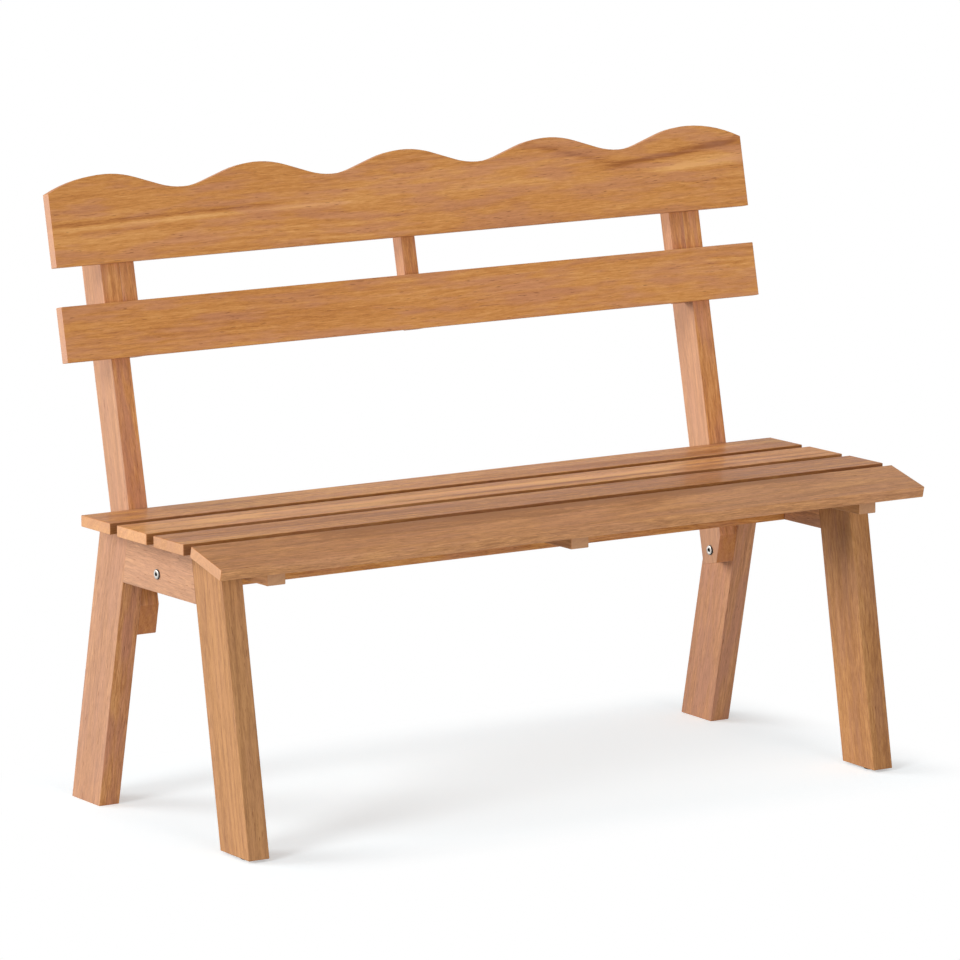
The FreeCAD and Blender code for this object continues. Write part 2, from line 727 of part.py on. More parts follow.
def draw_waste(sketch):
    """What the saw takes off above the wave."""
    curves = wave_curves()
    reach = f"({end_crest()} * wave_pitch / 2 + {LOBE_REACH})"
    top = f"({SAWN_TOP} + saw_margin)"
    upper = [Vector(side * value(reach), value(top), 0) for side in (1, -1)]
    right, left = curves[-1][0].StartPoint, curves[0][0].EndPoint
    for curve, _, _ in curves:
        sketch.addGeometry(curve, False)
    for start, end in ((right, upper[0]), upper, (upper[1], left)):
        sketch.addGeometry(Part.LineSegment(start, end), False)
    tie_wave(sketch, len(curves))
    for index, (_, step, radius) in enumerate(curves):
        if step is None:
            continue
        bind(sketch, "Radius", (index,), radius)
        if radius != "lobe_radius":
            pin(sketch, index, 3, *wave_centre(step, radius))
    top_line = len(curves) + 1
    pin(sketch, top_line, 1, reach, top)
    pin(sketch, top_line, 2, f"-{reach}", top)


def nearest_ends(first, second):
    """Which ends of two curves meet, as the sketcher counts them. An arc may run either way."""
    gaps = {(a, b): start.distanceToPoint(end)
            for a, start in ((1, first.StartPoint), (2, first.EndPoint))
            for b, end in ((1, second.StartPoint), (2, second.EndPoint))}
    return min(gaps, key=gaps.get)


def tie_wave(sketch, count):
    """Smooth joints along the wave's curves, the lobes starting above the end crests' centres,
    and plain corners at the upright sides of the waste."""
    shapes = sketch.Geometry
    loop = list(range(count, count + 3))
    rules = []
    for index in range(count - 1):
        here, there = nearest_ends(shapes[index], shapes[index + 1])
        rules.append(Sketcher.Constraint("Tangent", index, here, index + 1, there))
    for lobe, crest in ((0, 1), (count - 1, count - 2)):
        apex = nearest_ends(shapes[crest], shapes[lobe])[0]
        rules.append(Sketcher.Constraint("Vertical", crest, 3, crest, apex))
    for first, second in zip([count - 1] + loop, loop + [0]):
        here, there = nearest_ends(shapes[first], shapes[second])
        rules.append(Sketcher.Constraint("Coincident", first, here, second, there))
    rules += [Sketcher.Constraint("Vertical", upright) for upright in (loop[0], loop[2])]
    sketch.addConstraint(rules)


# Fasteners: groups of like solids, turned from their half outlines

def turned(outline_points):
    """Solid of revolution about +X from points (x, radius)."""
    points = [Vector(x, radius, 0) for x, radius in outline_points]
    face = Part.Face(Part.makePolygon(points + points[:1]))
    return face.revolve(Vector(0, 0, 0), Vector(1, 0, 0), 360)


def bolt(length):
    """Connector bolt along +X, with its flat head's underside at the origin."""
    head, shank = value("bolt_head_diameter / 2"), value("bolt_diameter / 2")
    height, rim, tip = value("bolt_head_height"), value("bolt_head_rim"), value("bolt_tip_chamfer")
    solid = turned([(-height, 0), (-height, head - rim), (-height + rim, head), (0, head),
                    (0, shank), (length - tip, shank), (length, shank - tip), (length, 0)])
    corner = value("hex_socket") / math.sqrt(3)
    points = [Vector(-height, corner * math.cos(turn * math.pi / 3),
                     corner * math.sin(turn * math.pi / 3)) for turn in range(7)]
    hexagon = Part.Face(Part.makePolygon(points))
    return solid.cut(hexagon.extrude(Vector(value("hex_socket_depth"), 0, 0)))


def screw():
    """Pan-head wood screw along +X, with its head's underside at the origin."""
    shank, head = value("screw_diameter") / 2, value("screw_head_diameter") / 2
    height, length = value("screw_head_height"), value("screw_length")
    point = value("screw_point")
    return turned([(-height, 0), (-height, head / 2), (-height / 2, head), (0, head),
                   (0, shank), (length - point, shank), (length, 0)])


def sleeve(length, outer, inner):
    """Nut without its thread: a tube along +X with eased ends."""
    ease = value("nut_chamfer")
    return turned([(0, inner), (0, outer - ease), (ease, outer), (length - ease, outer),
                   (length, outer - ease), (length, inner)])


def barrel_nut():
    """Cross dowel along Y with its threaded hole along X."""
    radius, length = value("barrel_nut_diameter") / 2, value("barrel_nut_length")
    rod = Part.makeCylinder(radius, length, Vector(0, -length / 2, 0), Vector(0, 1, 0))
    hole = value("bolt_diameter") / 2 + value("thread_play")
    return rod.cut(Part.makeCylinder(hole, 4 * radius, Vector(-2 * radius, 0, 0), Vector(1, 0, 0)))


def dowel():
    """Wooden dowel along X about the origin."""
    radius, half, ease = value("dowel_diameter") / 2, value("dowel_length / 2"), value("dowel_chamfer")
    return turned([(-half, 0), (-half, radius - ease), (ease - half, radius),
                   (half - ease, radius), (half, radius - ease), (half, 0)])


def copy_at(solid, x, y, z, direction=Vector(1, 0, 0)):
    """The solid moved to a spot, with its +X axis turned to a direction."""
    copy = solid.copy()
    spot = Vector(value(x), value(y), value(z))
    copy.Placement = Placement(spot, Rotation(Vector(1, 0, 0), direction))
    return copy


def new_group(name, solids, placed):
    """One node of separate like solids."""
    group = doc.addObject("Part::Feature", name)
    group.Label = name
    group.Shape = Part.makeCompound(solids)
    placed(group)
    pieces.append(group)


def both_sides(make):
    """What make gives for the left side, -1, and for the right side, 1."""
    return [solid for side in (-1, 1) for solid in make(side)]


def make_stretcher_fasteners():
    (bolt_y, bolt_z), (dowel_y, dowel_z) = stretcher_spots()
    shank = value("leg_thickness + stretcher_bolt_reach - bolt_tip_room")
    new_group("stretcher_bolts", both_sides(lambda side: [copy_at(
        bolt(shank), f"({side}) * {FRAME_OUTER}", bolt_y, bolt_z, Vector(-side, 0, 0))]),
        place_level)
    new_group("stretcher_barrel_nuts", both_sides(lambda side: [copy_at(
        barrel_nut(), f"({side}) * ({FRAME_INNER} - barrel_nut_set)", bolt_y, bolt_z)]),
        place_level)
    new_group("stretcher_dowels", both_sides(lambda side: [copy_at(
        dowel(), f"({side}) * {FRAME_INNER}", dowel_y, dowel_z)]), place_level)


def side_bolts(name, spots, face, thickness, placed):
    """Bolts from the inner face of a piece outwards, through it and into insert nuts."""
    length = value(f"{thickness} + insert_length + bolt_overrun")
    new_group(name, both_sides(lambda side: [copy_at(
        bolt(length), f"({side}) * {face}", y, z, Vector(side, 0, 0)) for y, z in spots]), placed)


def insert_nuts(name, spots, face, placed):
    nut = sleeve(value("insert_length"), value("insert_diameter") / 2,
                 value("bolt_diameter") / 2 + value("thread_play"))
    new_group(name, both_sides(lambda side: [copy_at(
        nut, f"({side}) * {face}", y, z, Vector(side, 0, 0)) for y, z in spots]), placed)


def make_seat_screws():
    """Screws up through the cleats, two for each crossing of a slat and a cleat."""
    upwards = Vector(0, 0, 1)
    solids = []
    for _, back_edge, width, tilt in SLATS:
        for row in slat_rows(width):
            y, seat = row_spot(back_edge, tilt, row)[0], screw_seat(back_edge, tilt, row)
            solids += [copy_at(screw(), x, y, seat, upwards) for x in CLEAT_PLACES]
    new_group("seat_screws", solids, place_level)


def make_back_screws():
    """Screws forward through the battens into the two rails."""
    new_group("back_screws", [
        copy_at(screw(), x, "screw_length - screw_bite", rise, Vector(0, -1, 0))
        for x in BATTEN_PLACES for rise in rail_screw_rises()], place_leaning)


def make_glide_screws():
    y, z = glide_spot()
    head = f"{GLIDE_HEAD} - glide_height"
    new_group("glide_screws", both_sides(lambda side: [copy_at(
        screw(), f"({side}) * {FRAME_MIDDLE}", "0", head, Vector(0, 0, 1))]),
        lambda group: place(group, y, z, "seat_slope"))


# The whole bench

def build():
    fill_sheet()
    for name, back_edge, width, tilt in SLATS:
        make_slat(name, back_edge, width, tilt)
    for word, middle, side in zip(("left", "centre", "right"), CLEAT_PLACES, (-1, 0, 1)):
        make_cleat(f"seat_cleat_{word}", middle, side)
    for word, side in (("left", -1), ("right", 1)):
        make_leg(f"leg_front_{word}", side, "front")
        make_leg(f"leg_rear_{word}", side, "rear")
        make_apron(f"apron_{word}", side)
        make_glide(f"foot_glide_{word}", side)
        make_post(f"back_post_{word}", side)
    make_stretcher()
    for word, middle, side in zip(("left", "centre", "right"), BATTEN_PLACES, (-1, 0, 1)):
        make_batten(f"back_batten_{word}", middle, side)
    make_lower_rail()
    make_top_rail()
    make_stretcher_fasteners()
    side_bolts("seat_bolts", cleat_bolt_spots(), f"({FRAME_INNER} - cleat_thickness)",
               "cleat_thickness", place_level)
    side_bolts("post_bolts", POST_BOLTS, POST_INNER, "post_thickness", place_leaning)
    side_bolts("back_bolts", batten_bolt_spots(), BATTEN_INNER, "batten_width", place_leaning)
    insert_nuts("leg_insert_nuts", cleat_bolt_spots() + post_bolt_spots_level(), FRAME_INNER,
                place_level)
    insert_nuts("post_insert_nuts", batten_bolt_spots(), POST_INNER, place_leaning)
    make_seat_screws()
    make_back_screws()
    make_glide_screws()
    doc.recompute()


def check():
    """Stop before anything is written if a feature failed or a piece isn't a sound solid."""
    for item in doc.Objects:
        if "Invalid" in item.State or "Error" in item.State:
            raise RuntimeError(f"{item.Name} failed: {item.State}")
    for piece in pieces:
        if piece.Shape.isNull() or not piece.Shape.isValid():
            raise RuntimeError(f"{piece.Label} is not a sound shape")


def write():
    os.makedirs("parts", exist_ok=True)
    for piece in pieces:
        piece.Shape.exportStep(f"parts/{piece.Label}.step")
    print(f"{len(pieces)} pieces written")


build()
check()
write()
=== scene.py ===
"""Finishes a two-seat garden bench: oiled hardwood boards, zinc-plated fittings, black glides.

The boards are the solids of the model itself. Each gets a finish of its own, turned and shifted
so that its grain runs along it. The bolts, screws, insert nuts and dowels are made here with their
sockets, threads and flutes, in place of the plain ones.
"""
import bmesh
import bpy
import math
from bpy.props import FloatProperty, FloatVectorProperty
from mathutils import Euler, Matrix, Vector


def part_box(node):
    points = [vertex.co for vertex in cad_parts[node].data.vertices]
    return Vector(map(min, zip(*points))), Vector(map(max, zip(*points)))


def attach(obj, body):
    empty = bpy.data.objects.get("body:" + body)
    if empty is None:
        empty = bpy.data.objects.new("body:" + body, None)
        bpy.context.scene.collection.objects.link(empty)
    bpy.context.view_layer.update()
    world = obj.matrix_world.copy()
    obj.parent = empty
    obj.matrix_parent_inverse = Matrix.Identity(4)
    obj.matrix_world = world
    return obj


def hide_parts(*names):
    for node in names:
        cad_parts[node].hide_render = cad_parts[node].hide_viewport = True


bl_info = {
    "name": "Garden Bench Finishes",
    "version": (1, 0, 0),
    "blender": (4, 5, 0),
    "location": "View3D > Sidebar > Bench",
    "description": "Wood grain, fittings and studio for a slatted garden bench",
    "category": "Object",
}

SHARP_ANGLE = math.radians(40.0)
MILLIMETRE = 0.001

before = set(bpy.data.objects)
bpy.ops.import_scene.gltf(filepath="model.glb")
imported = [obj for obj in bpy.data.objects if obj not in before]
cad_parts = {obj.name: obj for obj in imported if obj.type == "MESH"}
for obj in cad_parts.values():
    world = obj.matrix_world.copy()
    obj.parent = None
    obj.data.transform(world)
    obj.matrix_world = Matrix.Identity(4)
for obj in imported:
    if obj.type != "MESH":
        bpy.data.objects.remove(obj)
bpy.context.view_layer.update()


# Sizes and colours that a user would change

class BenchWood(bpy.types.PropertyGroup):
    """Colours and figure of the oiled hardwood."""
    honey: FloatVectorProperty(
        name="Honey", description="Main colour of the wood", subtype="COLOR", size=3,
        min=0.0, max=1.0, default=(0.585, 0.247, 0.066))
    russet: FloatVectorProperty(
        name="Russet", description="Red-brown streaks", subtype="COLOR", size=3,
        min=0.0, max=1.0, default=(0.425, 0.145, 0.038))
    straw: FloatVectorProperty(
        name="Straw", description="Pale streaks", subtype="COLOR", size=3,
        min=0.0, max=1.0, default=(0.660, 0.340, 0.120))
    rose: FloatVectorProperty(
        name="Rose", description="Pinkish clouds", subtype="COLOR", size=3,
        min=0.0, max=1.0, default=(0.520, 0.225, 0.125))
    ochre: FloatVectorProperty(
        name="Ochre", description="Browner boards", subtype="COLOR", size=3,
        min=0.0, max=1.0, default=(0.460, 0.225, 0.096))
    # Fawn is mostly a painted sheen of the lamps at the left: on the wide side faces of the
    # uprights and over all of the aprons. On a few other boards it is only a paler tone.
    fawn: FloatVectorProperty(
        name="Fawn", description="Pale dry sides of the uprights and the aprons", subtype="COLOR",
        size=3, min=0.0, max=1.0, default=(0.490, 0.268, 0.165))
    end_grain: FloatVectorProperty(
        name="End grain", description="Sawn ends of the boards", subtype="COLOR", size=3,
        min=0.0, max=1.0, default=(0.560, 0.310, 0.180))
    pore: FloatVectorProperty(
        name="Pore", description="Inside of the open pores", subtype="COLOR", size=3,
        min=0.0, max=1.0, default=(0.22, 0.075, 0.028))
    ring_width: FloatProperty(
        name="Ring width", description="Growth of one year", subtype="DISTANCE", unit="LENGTH",
        default=0.009)
    relief: FloatProperty(
        name="Relief", description="Depth of the open pores", subtype="DISTANCE",
        unit="LENGTH", default=0.00012)


class BenchFittings(bpy.types.PropertyGroup):
    """Colours of the metal and plastic pieces and of the dowels."""
    zinc: FloatVectorProperty(
        name="Zinc", description="Plating of bolts, nuts and screws", subtype="COLOR", size=3,
        min=0.0, max=1.0, default=(0.44, 0.42, 0.39))
    # Grime is both a dull film in clouds over the plating and the dark steel that paints the shade
    # in the sockets and round the bolt heads' rims.
    grime_and_shade: FloatVectorProperty(
        name="Grime", description="Dull film in corners of the plating", subtype="COLOR", size=3,
        min=0.0, max=1.0, default=(0.09, 0.085, 0.08))
    plastic: FloatVectorProperty(
        name="Plastic", description="Colour of the foot glides", subtype="COLOR", size=3,
        min=0.0, max=1.0, default=(0.009, 0.009, 0.010))
    beech: FloatVectorProperty(
        name="Beech", description="Colour of the turned dowels", subtype="COLOR", size=3,
        min=0.0, max=1.0, default=(0.55, 0.36, 0.19))


class BenchStudio(bpy.types.PropertyGroup):
    """Light, floor and camera."""
    key_strength: FloatProperty(
        name="Key light", description="Strength of the large lamp at the left",
        min=0.0, default=1.28)
    front_strength: FloatProperty(
        name="Front light", description="Strength of the lamp at the front",
        min=0.0, default=1.07)
    top_strength: FloatProperty(
        name="Top light", description="Strength of the wide lamp overhead",
        min=0.0, default=0.15)
    rim_strength: FloatProperty(
        name="Rim light", description="Strength of the low lamp at the back left",
        min=0.0, default=2.58)
    room_strength: FloatProperty(
        name="Room light", description="Strength of the light from all around",
        min=0.0, default=0.3)
    floor_colour: FloatVectorProperty(
        name="Floor colour", description="Cool white paint that evens out the wood's warm glow",
        subtype="COLOR", size=3, min=0.0, max=1.0, default=(0.790, 0.860, 0.895))
    shadow_share: FloatProperty(
        name="Shadow share", description="Share of the floor's own shade that the camera sees",
        min=0.0, max=1.0, default=1.0)
    floor_lift: FloatProperty(
        name="Floor lift", description="Plain white that the camera sees in the floor",
        min=0.0, max=1.0, default=0.385)
    floor_size: FloatProperty(
        name="Floor size", description="Side of the square floor", subtype="DISTANCE",
        unit="LENGTH", default=14.0)
    camera_place: FloatVectorProperty(
        name="Camera", description="Place of the camera", subtype="TRANSLATION", size=3,
        unit="LENGTH", default=(-5.22323, -8.24285, 2.21445))
    camera_turn: FloatVectorProperty(
        name="Camera angles", description="Pitch, roll and heading of the camera",
        subtype="EULER", size=3, unit="ROTATION",
        default=(math.radians(79.7607), math.radians(0.0632), math.radians(-32.3691)))
    focal_length: FloatProperty(
        name="Focal length", description="Focal length in millimetres on a 36 mm sensor",
        min=1.0, default=254.277)


# Node trees, in short words

def add_node(tree, kind, **settings):
    """A node of the given kind with its settings made."""
    made = tree.nodes.new(kind)
    for name, setting in settings.items():
        setattr(made, name, setting)
    return made


def feed(tree, socket, source):
    """Give a socket a plain value, or the output of another node."""
    if isinstance(source, bpy.types.NodeSocket):
        tree.links.new(source, socket)
    elif source is not None:
        if socket.type == "RGBA" and len(source) == 3:
            source = (*source, 1.0)
        socket.default_value = source


def maths(tree, operation, *sources, clamp=False):
    """Output of a Math node."""
    made = add_node(tree, "ShaderNodeMath", operation=operation, use_clamp=clamp)
    for socket, source in zip(made.inputs, sources):
        feed(tree, socket, source)
    return made.outputs[0]


def vector_maths(tree, operation, *sources, output=0):
    """Output of a Vector Math node."""
    made = add_node(tree, "ShaderNodeVectorMath", operation=operation)
    for socket, source in zip(made.inputs, sources):
        feed(tree, socket, source)
    return made.outputs[output]


def mix_colour(tree, factor, first, second):
    """Output of a colour Mix node."""
    made = add_node(tree, "ShaderNodeMix", data_type="RGBA")
    for name, source in (("Factor_Float", factor), ("A_Color", first), ("B_Color", second)):
        socket = next(item for item in made.inputs if item.identifier == name)
        feed(tree, socket, source)
    return next(item for item in made.outputs if item.identifier == "Result_Color")


def spread(tree, source, low, high, to_low=0.0, to_high=1.0, smooth=True):
    """Remap a value from one span to another, held at both ends."""
    made = add_node(tree, "ShaderNodeMapRange", clamp=True)
    made.interpolation_type = "SMOOTHSTEP" if smooth else "LINEAR"
    for name, number in zip(("Value", "From Min", "From Max", "To Min", "To Max"),
                            (source, low, high, to_low, to_high)):
        feed(tree, made.inputs[name], number)
    return made.outputs["Result"]


def stretched_noise(tree, place, stretch, seed, detail=2.0, roughness=0.5, colour=False):
    """Noise whose grains are one over stretch metres long along each axis."""
    scaled = vector_maths(tree, "MULTIPLY", place, stretch)
    made = add_node(tree, "ShaderNodeTexNoise", noise_dimensions="4D")
    for name, number in (("Vector", scaled), ("W", seed), ("Scale", 1.0), ("Detail", detail),
                         ("Roughness", roughness)):
        feed(tree, made.inputs[name], number)
    return made.outputs["Color" if colour else "Fac"]


def new_group(name, inputs, outputs):
    """An empty node group with named sockets. Inputs are {name: default}, and outputs are
    {name: kind}."""
    tree = bpy.data.node_groups.new(name, "ShaderNodeTree")
    for label, default in inputs.items():
        kind = "Float" if isinstance(default, float) else "Vector" if len(default) == 3 else "Color"
        socket = tree.interface.new_socket(label, in_out="INPUT", socket_type="NodeSocket" + kind)
        socket.default_value = default
    for label, kind in outputs.items():
        tree.interface.new_socket(label, in_out="OUTPUT", socket_type="NodeSocket" + kind)
    start = tree.nodes.new("NodeGroupInput")
    end = tree.nodes.new("NodeGroupOutput")
    return tree, start.outputs, end.inputs


# Shared effects

# A share is how much of a colour is mixed in. The side share counts only on the faces that look
# through the board, where its fawn is a painted sheen of the lamps at the left. The edge tone
# counts only on the narrow edges, where it paints the shade in the gaps between the slats. The
# colours come from the settings.

ANY_COLOUR = (1.0, 1.0, 1.0, 1.0)
WOOD_COLOURS = ("Honey", "Russet", "Straw", "Rose", "Pore", "End Grain", "Ochre", "Fawn")
GRAIN_INPUTS = {
    "Place": (0.0, 0.0, 0.0),
    "Facing": (0.0, 0.0, 1.0),
    "Seed": 0.0,
    "Pith": (0.0, 0.03, 0.06),
    "Pith Lean": 0.02,
    "Ring Width": 0.009,
    "Ring Strength": 0.3,
    **{label: ANY_COLOUR for label in WOOD_COLOURS},
    "Shift": 0.0,
    "Contrast": 1.0,
    "Rose Share": 0.0,
    "Ochre Share": 0.0,
    "Fawn Share": 0.0,
    "Side Share": 0.0,
    "Edge Tone": 1.0,
    "Tone": 1.0,
}

# Each layer of marks: one over their length in metres along, across and through the board, then
# detail and roughness. The shares are those that some of them have in the figure.

GRAIN_LAYERS = {
    "bands": ((0.8, 20.0, 20.0), 2.0, 0.5),
    "stripes": ((2.0, 70.0, 70.0), 1.0, 0.5),
    "threads": ((4.5, 330.0, 330.0), 1.0, 0.5),
    "fibres": ((40.0, 560.0, 560.0), 3.0, 0.85),
    "clouds": ((9.0, 60.0, 60.0), 2.0, 0.6),
    "dashes": ((60.0, 700.0, 700.0), 1.0, 0.5),
}
FIGURE_SHARES = {"bands": 1.9, "stripes": 0.9, "threads": 0.9, "fibres": 4.8}

# Waves of the grain, slow and quick: one over their length as above, and how many metres they
# may shift its lines

GRAIN_WAVES = (((1.4, 5.0, 5.0), 0.035), ((6.5, 26.0, 26.0), 0.003))
RING_UNEVENNESS = 1.6
RING_FADE = (0.35, 0.65)

# How squarely a face looks along an axis: where it begins to count, and where it counts fully

SLANTED = (0.15, 0.35)
SQUARELY = (0.75, 0.95)
OILED_SHARE = 0.5
SAWN_SHARE = 0.6

# A span of the marks, and what it gives from its low end to its high end

ROSE_BY_CLOUDS = (0.38, 0.66, -0.1, 0.55)
SHADE_BY_FIGURE = (-1.2, 1.2, 0.78, 1.22)

# Pores open where the dashes pass a level that clouds lower, and are fully open a little above

PORE_LEVEL = 0.76
PORE_LEVEL_BY_CLOUDS = -0.20
PORE_EDGE = 0.10
PORE_DARKNESS = 0.65
PORE_RELIEF = -0.8
FIBRE_RELIEF = 0.35
SMOOTHEST = 0.42
ROUGHER_BY = {"fibres": 0.25, "pores": 0.15, "end grain": 0.15}


def board_grain_group():
    """Figure of one board. Place is in metres from its middle: X along the grain, Y across the
    wide face and Z through the board. Shift moves the colour towards straw or russet."""
    tree, given, result = new_group(
        "Board grain", GRAIN_INPUTS, {"Colour": "Color", "Roughness": "Float", "Height": "Float"})
    seed = given["Seed"]
    place = wandering_grain(tree, given["Place"], seed)
    marks = {name: stretched_noise(tree, place, stretch, seed, detail, roughness)
             for name, (stretch, detail, roughness) in GRAIN_LAYERS.items()}
    figure = 0.0
    for name, share in FIGURE_SHARES.items():
        centred = maths(tree, "SUBTRACT", marks[name], 0.5)
        figure = maths(tree, "MULTIPLY_ADD", centred, share, figure)
    rings = growth_rings(tree, given, place, seed)
    figure = maths(tree, "MULTIPLY_ADD", rings, given["Ring Strength"], figure)
    figure = maths(tree, "MULTIPLY_ADD", figure, given["Contrast"], given["Shift"])
    pores = pore_mask(tree, marks["dashes"], marks["clouds"])
    colour = long_grain_colour(tree, given, figure, marks["clouds"])
    dark_pores = maths(tree, "MULTIPLY", pores, PORE_DARKNESS)
    colour = mix_colour(tree, dark_pores, colour, given["Pore"])
    lengthways = maths(tree, "ABSOLUTE", facing_part(tree, given["Facing"], 0))
    end_grain = spread(tree, lengthways, *SQUARELY)
    colour = cut_face_colour(tree, given, colour, lengthways, end_grain)
    tree.links.new(edge_shade_and_tone(tree, given, colour), result["Colour"])
    rough = maths(tree, "MULTIPLY_ADD", marks["fibres"], ROUGHER_BY["fibres"], SMOOTHEST)
    rough = maths(tree, "MULTIPLY_ADD", pores, ROUGHER_BY["pores"], rough)
    rough = maths(tree, "MULTIPLY_ADD", end_grain, ROUGHER_BY["end grain"], rough)
    tree.links.new(rough, result["Roughness"])
    ridges = maths(tree, "MULTIPLY", marks["fibres"], FIBRE_RELIEF)
    tree.links.new(maths(tree, "MULTIPLY_ADD", pores, PORE_RELIEF, ridges), result["Height"])
    return tree


def long_grain_colour(tree, given, figure, clouds):
    """Russet where the figure is low, honey in its middle and straw where it is high, with rose
    clouds over it, and the shares of the other colours. The fawn on the side faces is a painted
    sheen of the lamps at the left."""
    dark = spread(tree, figure, -1.0, 0.0, smooth=False)
    colour = mix_colour(tree, dark, given["Russet"], given["Honey"])
    pale = spread(tree, figure, 0.0, 1.0, smooth=False)
    colour = mix_colour(tree, pale, colour, given["Straw"])
    pink = maths(tree, "ADD", spread(tree, clouds, *ROSE_BY_CLOUDS), given["Rose Share"],
                 clamp=True)
    colour = mix_colour(tree, pink, colour, given["Rose"])
    colour = mix_colour(tree, given["Ochre Share"], colour, given["Ochre"])
    # On the wide side faces the fawn is a painted sheen of the lamps at the left.
    side = maths(tree, "ABSOLUTE", facing_part(tree, given["Facing"], 2))
    fawn = maths(tree, "MULTIPLY_ADD", side, given["Side Share"], given["Fawn Share"])
    colour = mix_colour(tree, fawn, colour, given["Fawn"])
    shade = spread(tree, figure, *SHADE_BY_FIGURE, smooth=False)
    return vector_maths(tree, "SCALE", colour, None, None, shade)


def cut_face_colour(tree, given, colour, lengthways, end_grain):
    """Slanted cuts soak up more oil and are redder. Sawn ends are paler and plainer."""
    slanted = maths(tree, "SUBTRACT", spread(tree, lengthways, *SLANTED), end_grain)
    oiled = mix_colour(tree, OILED_SHARE, colour, given["Russet"])
    colour = mix_colour(tree, slanted, colour, oiled)
    sawn = mix_colour(tree, SAWN_SHARE, colour, given["End Grain"])
    return mix_colour(tree, end_grain, colour, sawn)


def edge_shade_and_tone(tree, given, colour):
    """The narrow edges turn ruddy and dark by the edge setting, which paints the shade in the gaps
    between the slats, and all of the board by Tone.
    """
    edgeways = maths(tree, "ABSOLUTE", facing_part(tree, given["Facing"], 1))
    edge = spread(tree, edgeways, *SQUARELY)
    ruddy = maths(tree, "MULTIPLY", edge, maths(tree, "SUBTRACT", 1.0, given["Edge Tone"]))
    colour = mix_colour(tree, ruddy, colour, given["Russet"])
    tone = spread(tree, edge, 0.0, 1.0, 1.0, given["Edge Tone"], smooth=False)
    tone = maths(tree, "MULTIPLY", tone, given["Tone"])
    return vector_maths(tree, "SCALE", colour, None, None, tone)


def wandering_grain(tree, place, seed):
    """Place shifted across the grain, slowly along the board, so that its lines wave a little."""
    waves = [(stretched_noise(tree, place, stretch, seed, 1.0, colour=True), reach)
             for stretch, reach in GRAIN_WAVES]
    for noise, reach in waves:
        centred = vector_maths(tree, "SUBTRACT", noise, (0.5, 0.5, 0.5))
        shift = vector_maths(tree, "MULTIPLY", centred, (0.0, reach, reach))
        place = vector_maths(tree, "ADD", place, shift)
    return place


def growth_rings(tree, given, place, seed):
    """Growth of the years around a pith beside the board: from minus one to one."""
    from_pith = vector_maths(tree, "SUBTRACT", place, given["Pith"])
    split = add_node(tree, "ShaderNodeSeparateXYZ")
    tree.links.new(from_pith, split.inputs[0])
    along, across, deep = split.outputs
    deep = maths(tree, "MULTIPLY_ADD", along, given["Pith Lean"], deep)
    radius = maths(tree, "SQRT", maths(tree, "ADD", maths(tree, "MULTIPLY", across, across),
                                       maths(tree, "MULTIPLY", deep, deep)))
    years = maths(tree, "DIVIDE", radius, given["Ring Width"])
    uneven = stretched_noise(tree, place, (1.2, 40.0, 40.0), seed)
    years = maths(tree, "MULTIPLY_ADD", uneven, RING_UNEVENNESS, years)
    wave = maths(tree, "SINE", maths(tree, "MULTIPLY", years, math.tau))
    fade = stretched_noise(tree, place, (2.0, 12.0, 12.0), seed, 1.0)
    return maths(tree, "MULTIPLY", wave, spread(tree, fade, *RING_FADE))


def pore_mask(tree, dashes, clouds):
    """Short dark pores, closer together in some places."""
    level = maths(tree, "MULTIPLY_ADD", clouds, PORE_LEVEL_BY_CLOUDS, PORE_LEVEL)
    over = maths(tree, "SUBTRACT", dashes, level)
    return spread(tree, over, 0.0, PORE_EDGE)


def facing_part(tree, facing, axis):
    """How squarely a surface faces along one of the board's axes."""
    split = add_node(tree, "ShaderNodeSeparateXYZ")
    tree.links.new(facing, split.inputs[0])
    return split.outputs[axis]


# A streak's place on its board, in metres: where along it starts and ends, how far across it
# lies at the middle, how much it climbs for each metre, and how wide it is

STREAK_INPUTS = {
    "Place": (0.0, 0.0, 0.0),
    "Seed": 0.0,
    "Start": -1.0,
    "End": 1.0,
    "Level": 0.0,
    "Slope": 0.0,
    "Width": 0.006,
}
STREAK_WANDER = 0.006
STREAK_FEATHER = (-0.02, 0.06)
STREAK_BY_THREADS = (0.3, 0.65, 0.5, 1.0)


def streak_group():
    """A streak along the grain: one on its line, feathered at its sides and at both ends."""
    tree, given, result = new_group("Streak", STREAK_INPUTS, {"Mask": "Float"})
    split = add_node(tree, "ShaderNodeSeparateXYZ")
    tree.links.new(given["Place"], split.inputs[0])
    along, across = split.outputs[0], split.outputs[1]
    line = maths(tree, "MULTIPLY_ADD", along, given["Slope"], given["Level"])
    wander = stretched_noise(tree, given["Place"], (5.0, 30.0, 30.0), given["Seed"])
    line = maths(tree, "MULTIPLY_ADD", wander, STREAK_WANDER, line)
    line = maths(tree, "SUBTRACT", line, STREAK_WANDER / 2)
    off = maths(tree, "DIVIDE", maths(tree, "SUBTRACT", across, line), given["Width"])
    off_squared = maths(tree, "MULTIPLY", off, off)
    fall = maths(tree, "POWER", math.e, maths(tree, "MULTIPLY", off_squared, -1.0))
    begun = spread(tree, maths(tree, "SUBTRACT", along, given["Start"]), *STREAK_FEATHER)
    ended = spread(tree, maths(tree, "SUBTRACT", given["End"], along), *STREAK_FEATHER)
    threads = stretched_noise(tree, given["Place"], (9.0, 330.0, 330.0), given["Seed"])
    fall = maths(tree, "MULTIPLY", fall, spread(tree, threads, *STREAK_BY_THREADS))
    mask = maths(tree, "MULTIPLY", fall, maths(tree, "MULTIPLY", begun, ended))
    tree.links.new(mask, result["Mask"])
    return tree


FILM_BY_CLOUDS = (0.48, 0.74, 0.0, 0.35)
PLATING_ROUGHNESS = {"least": 0.20, "clouds": 0.30, "flecks": 0.10}


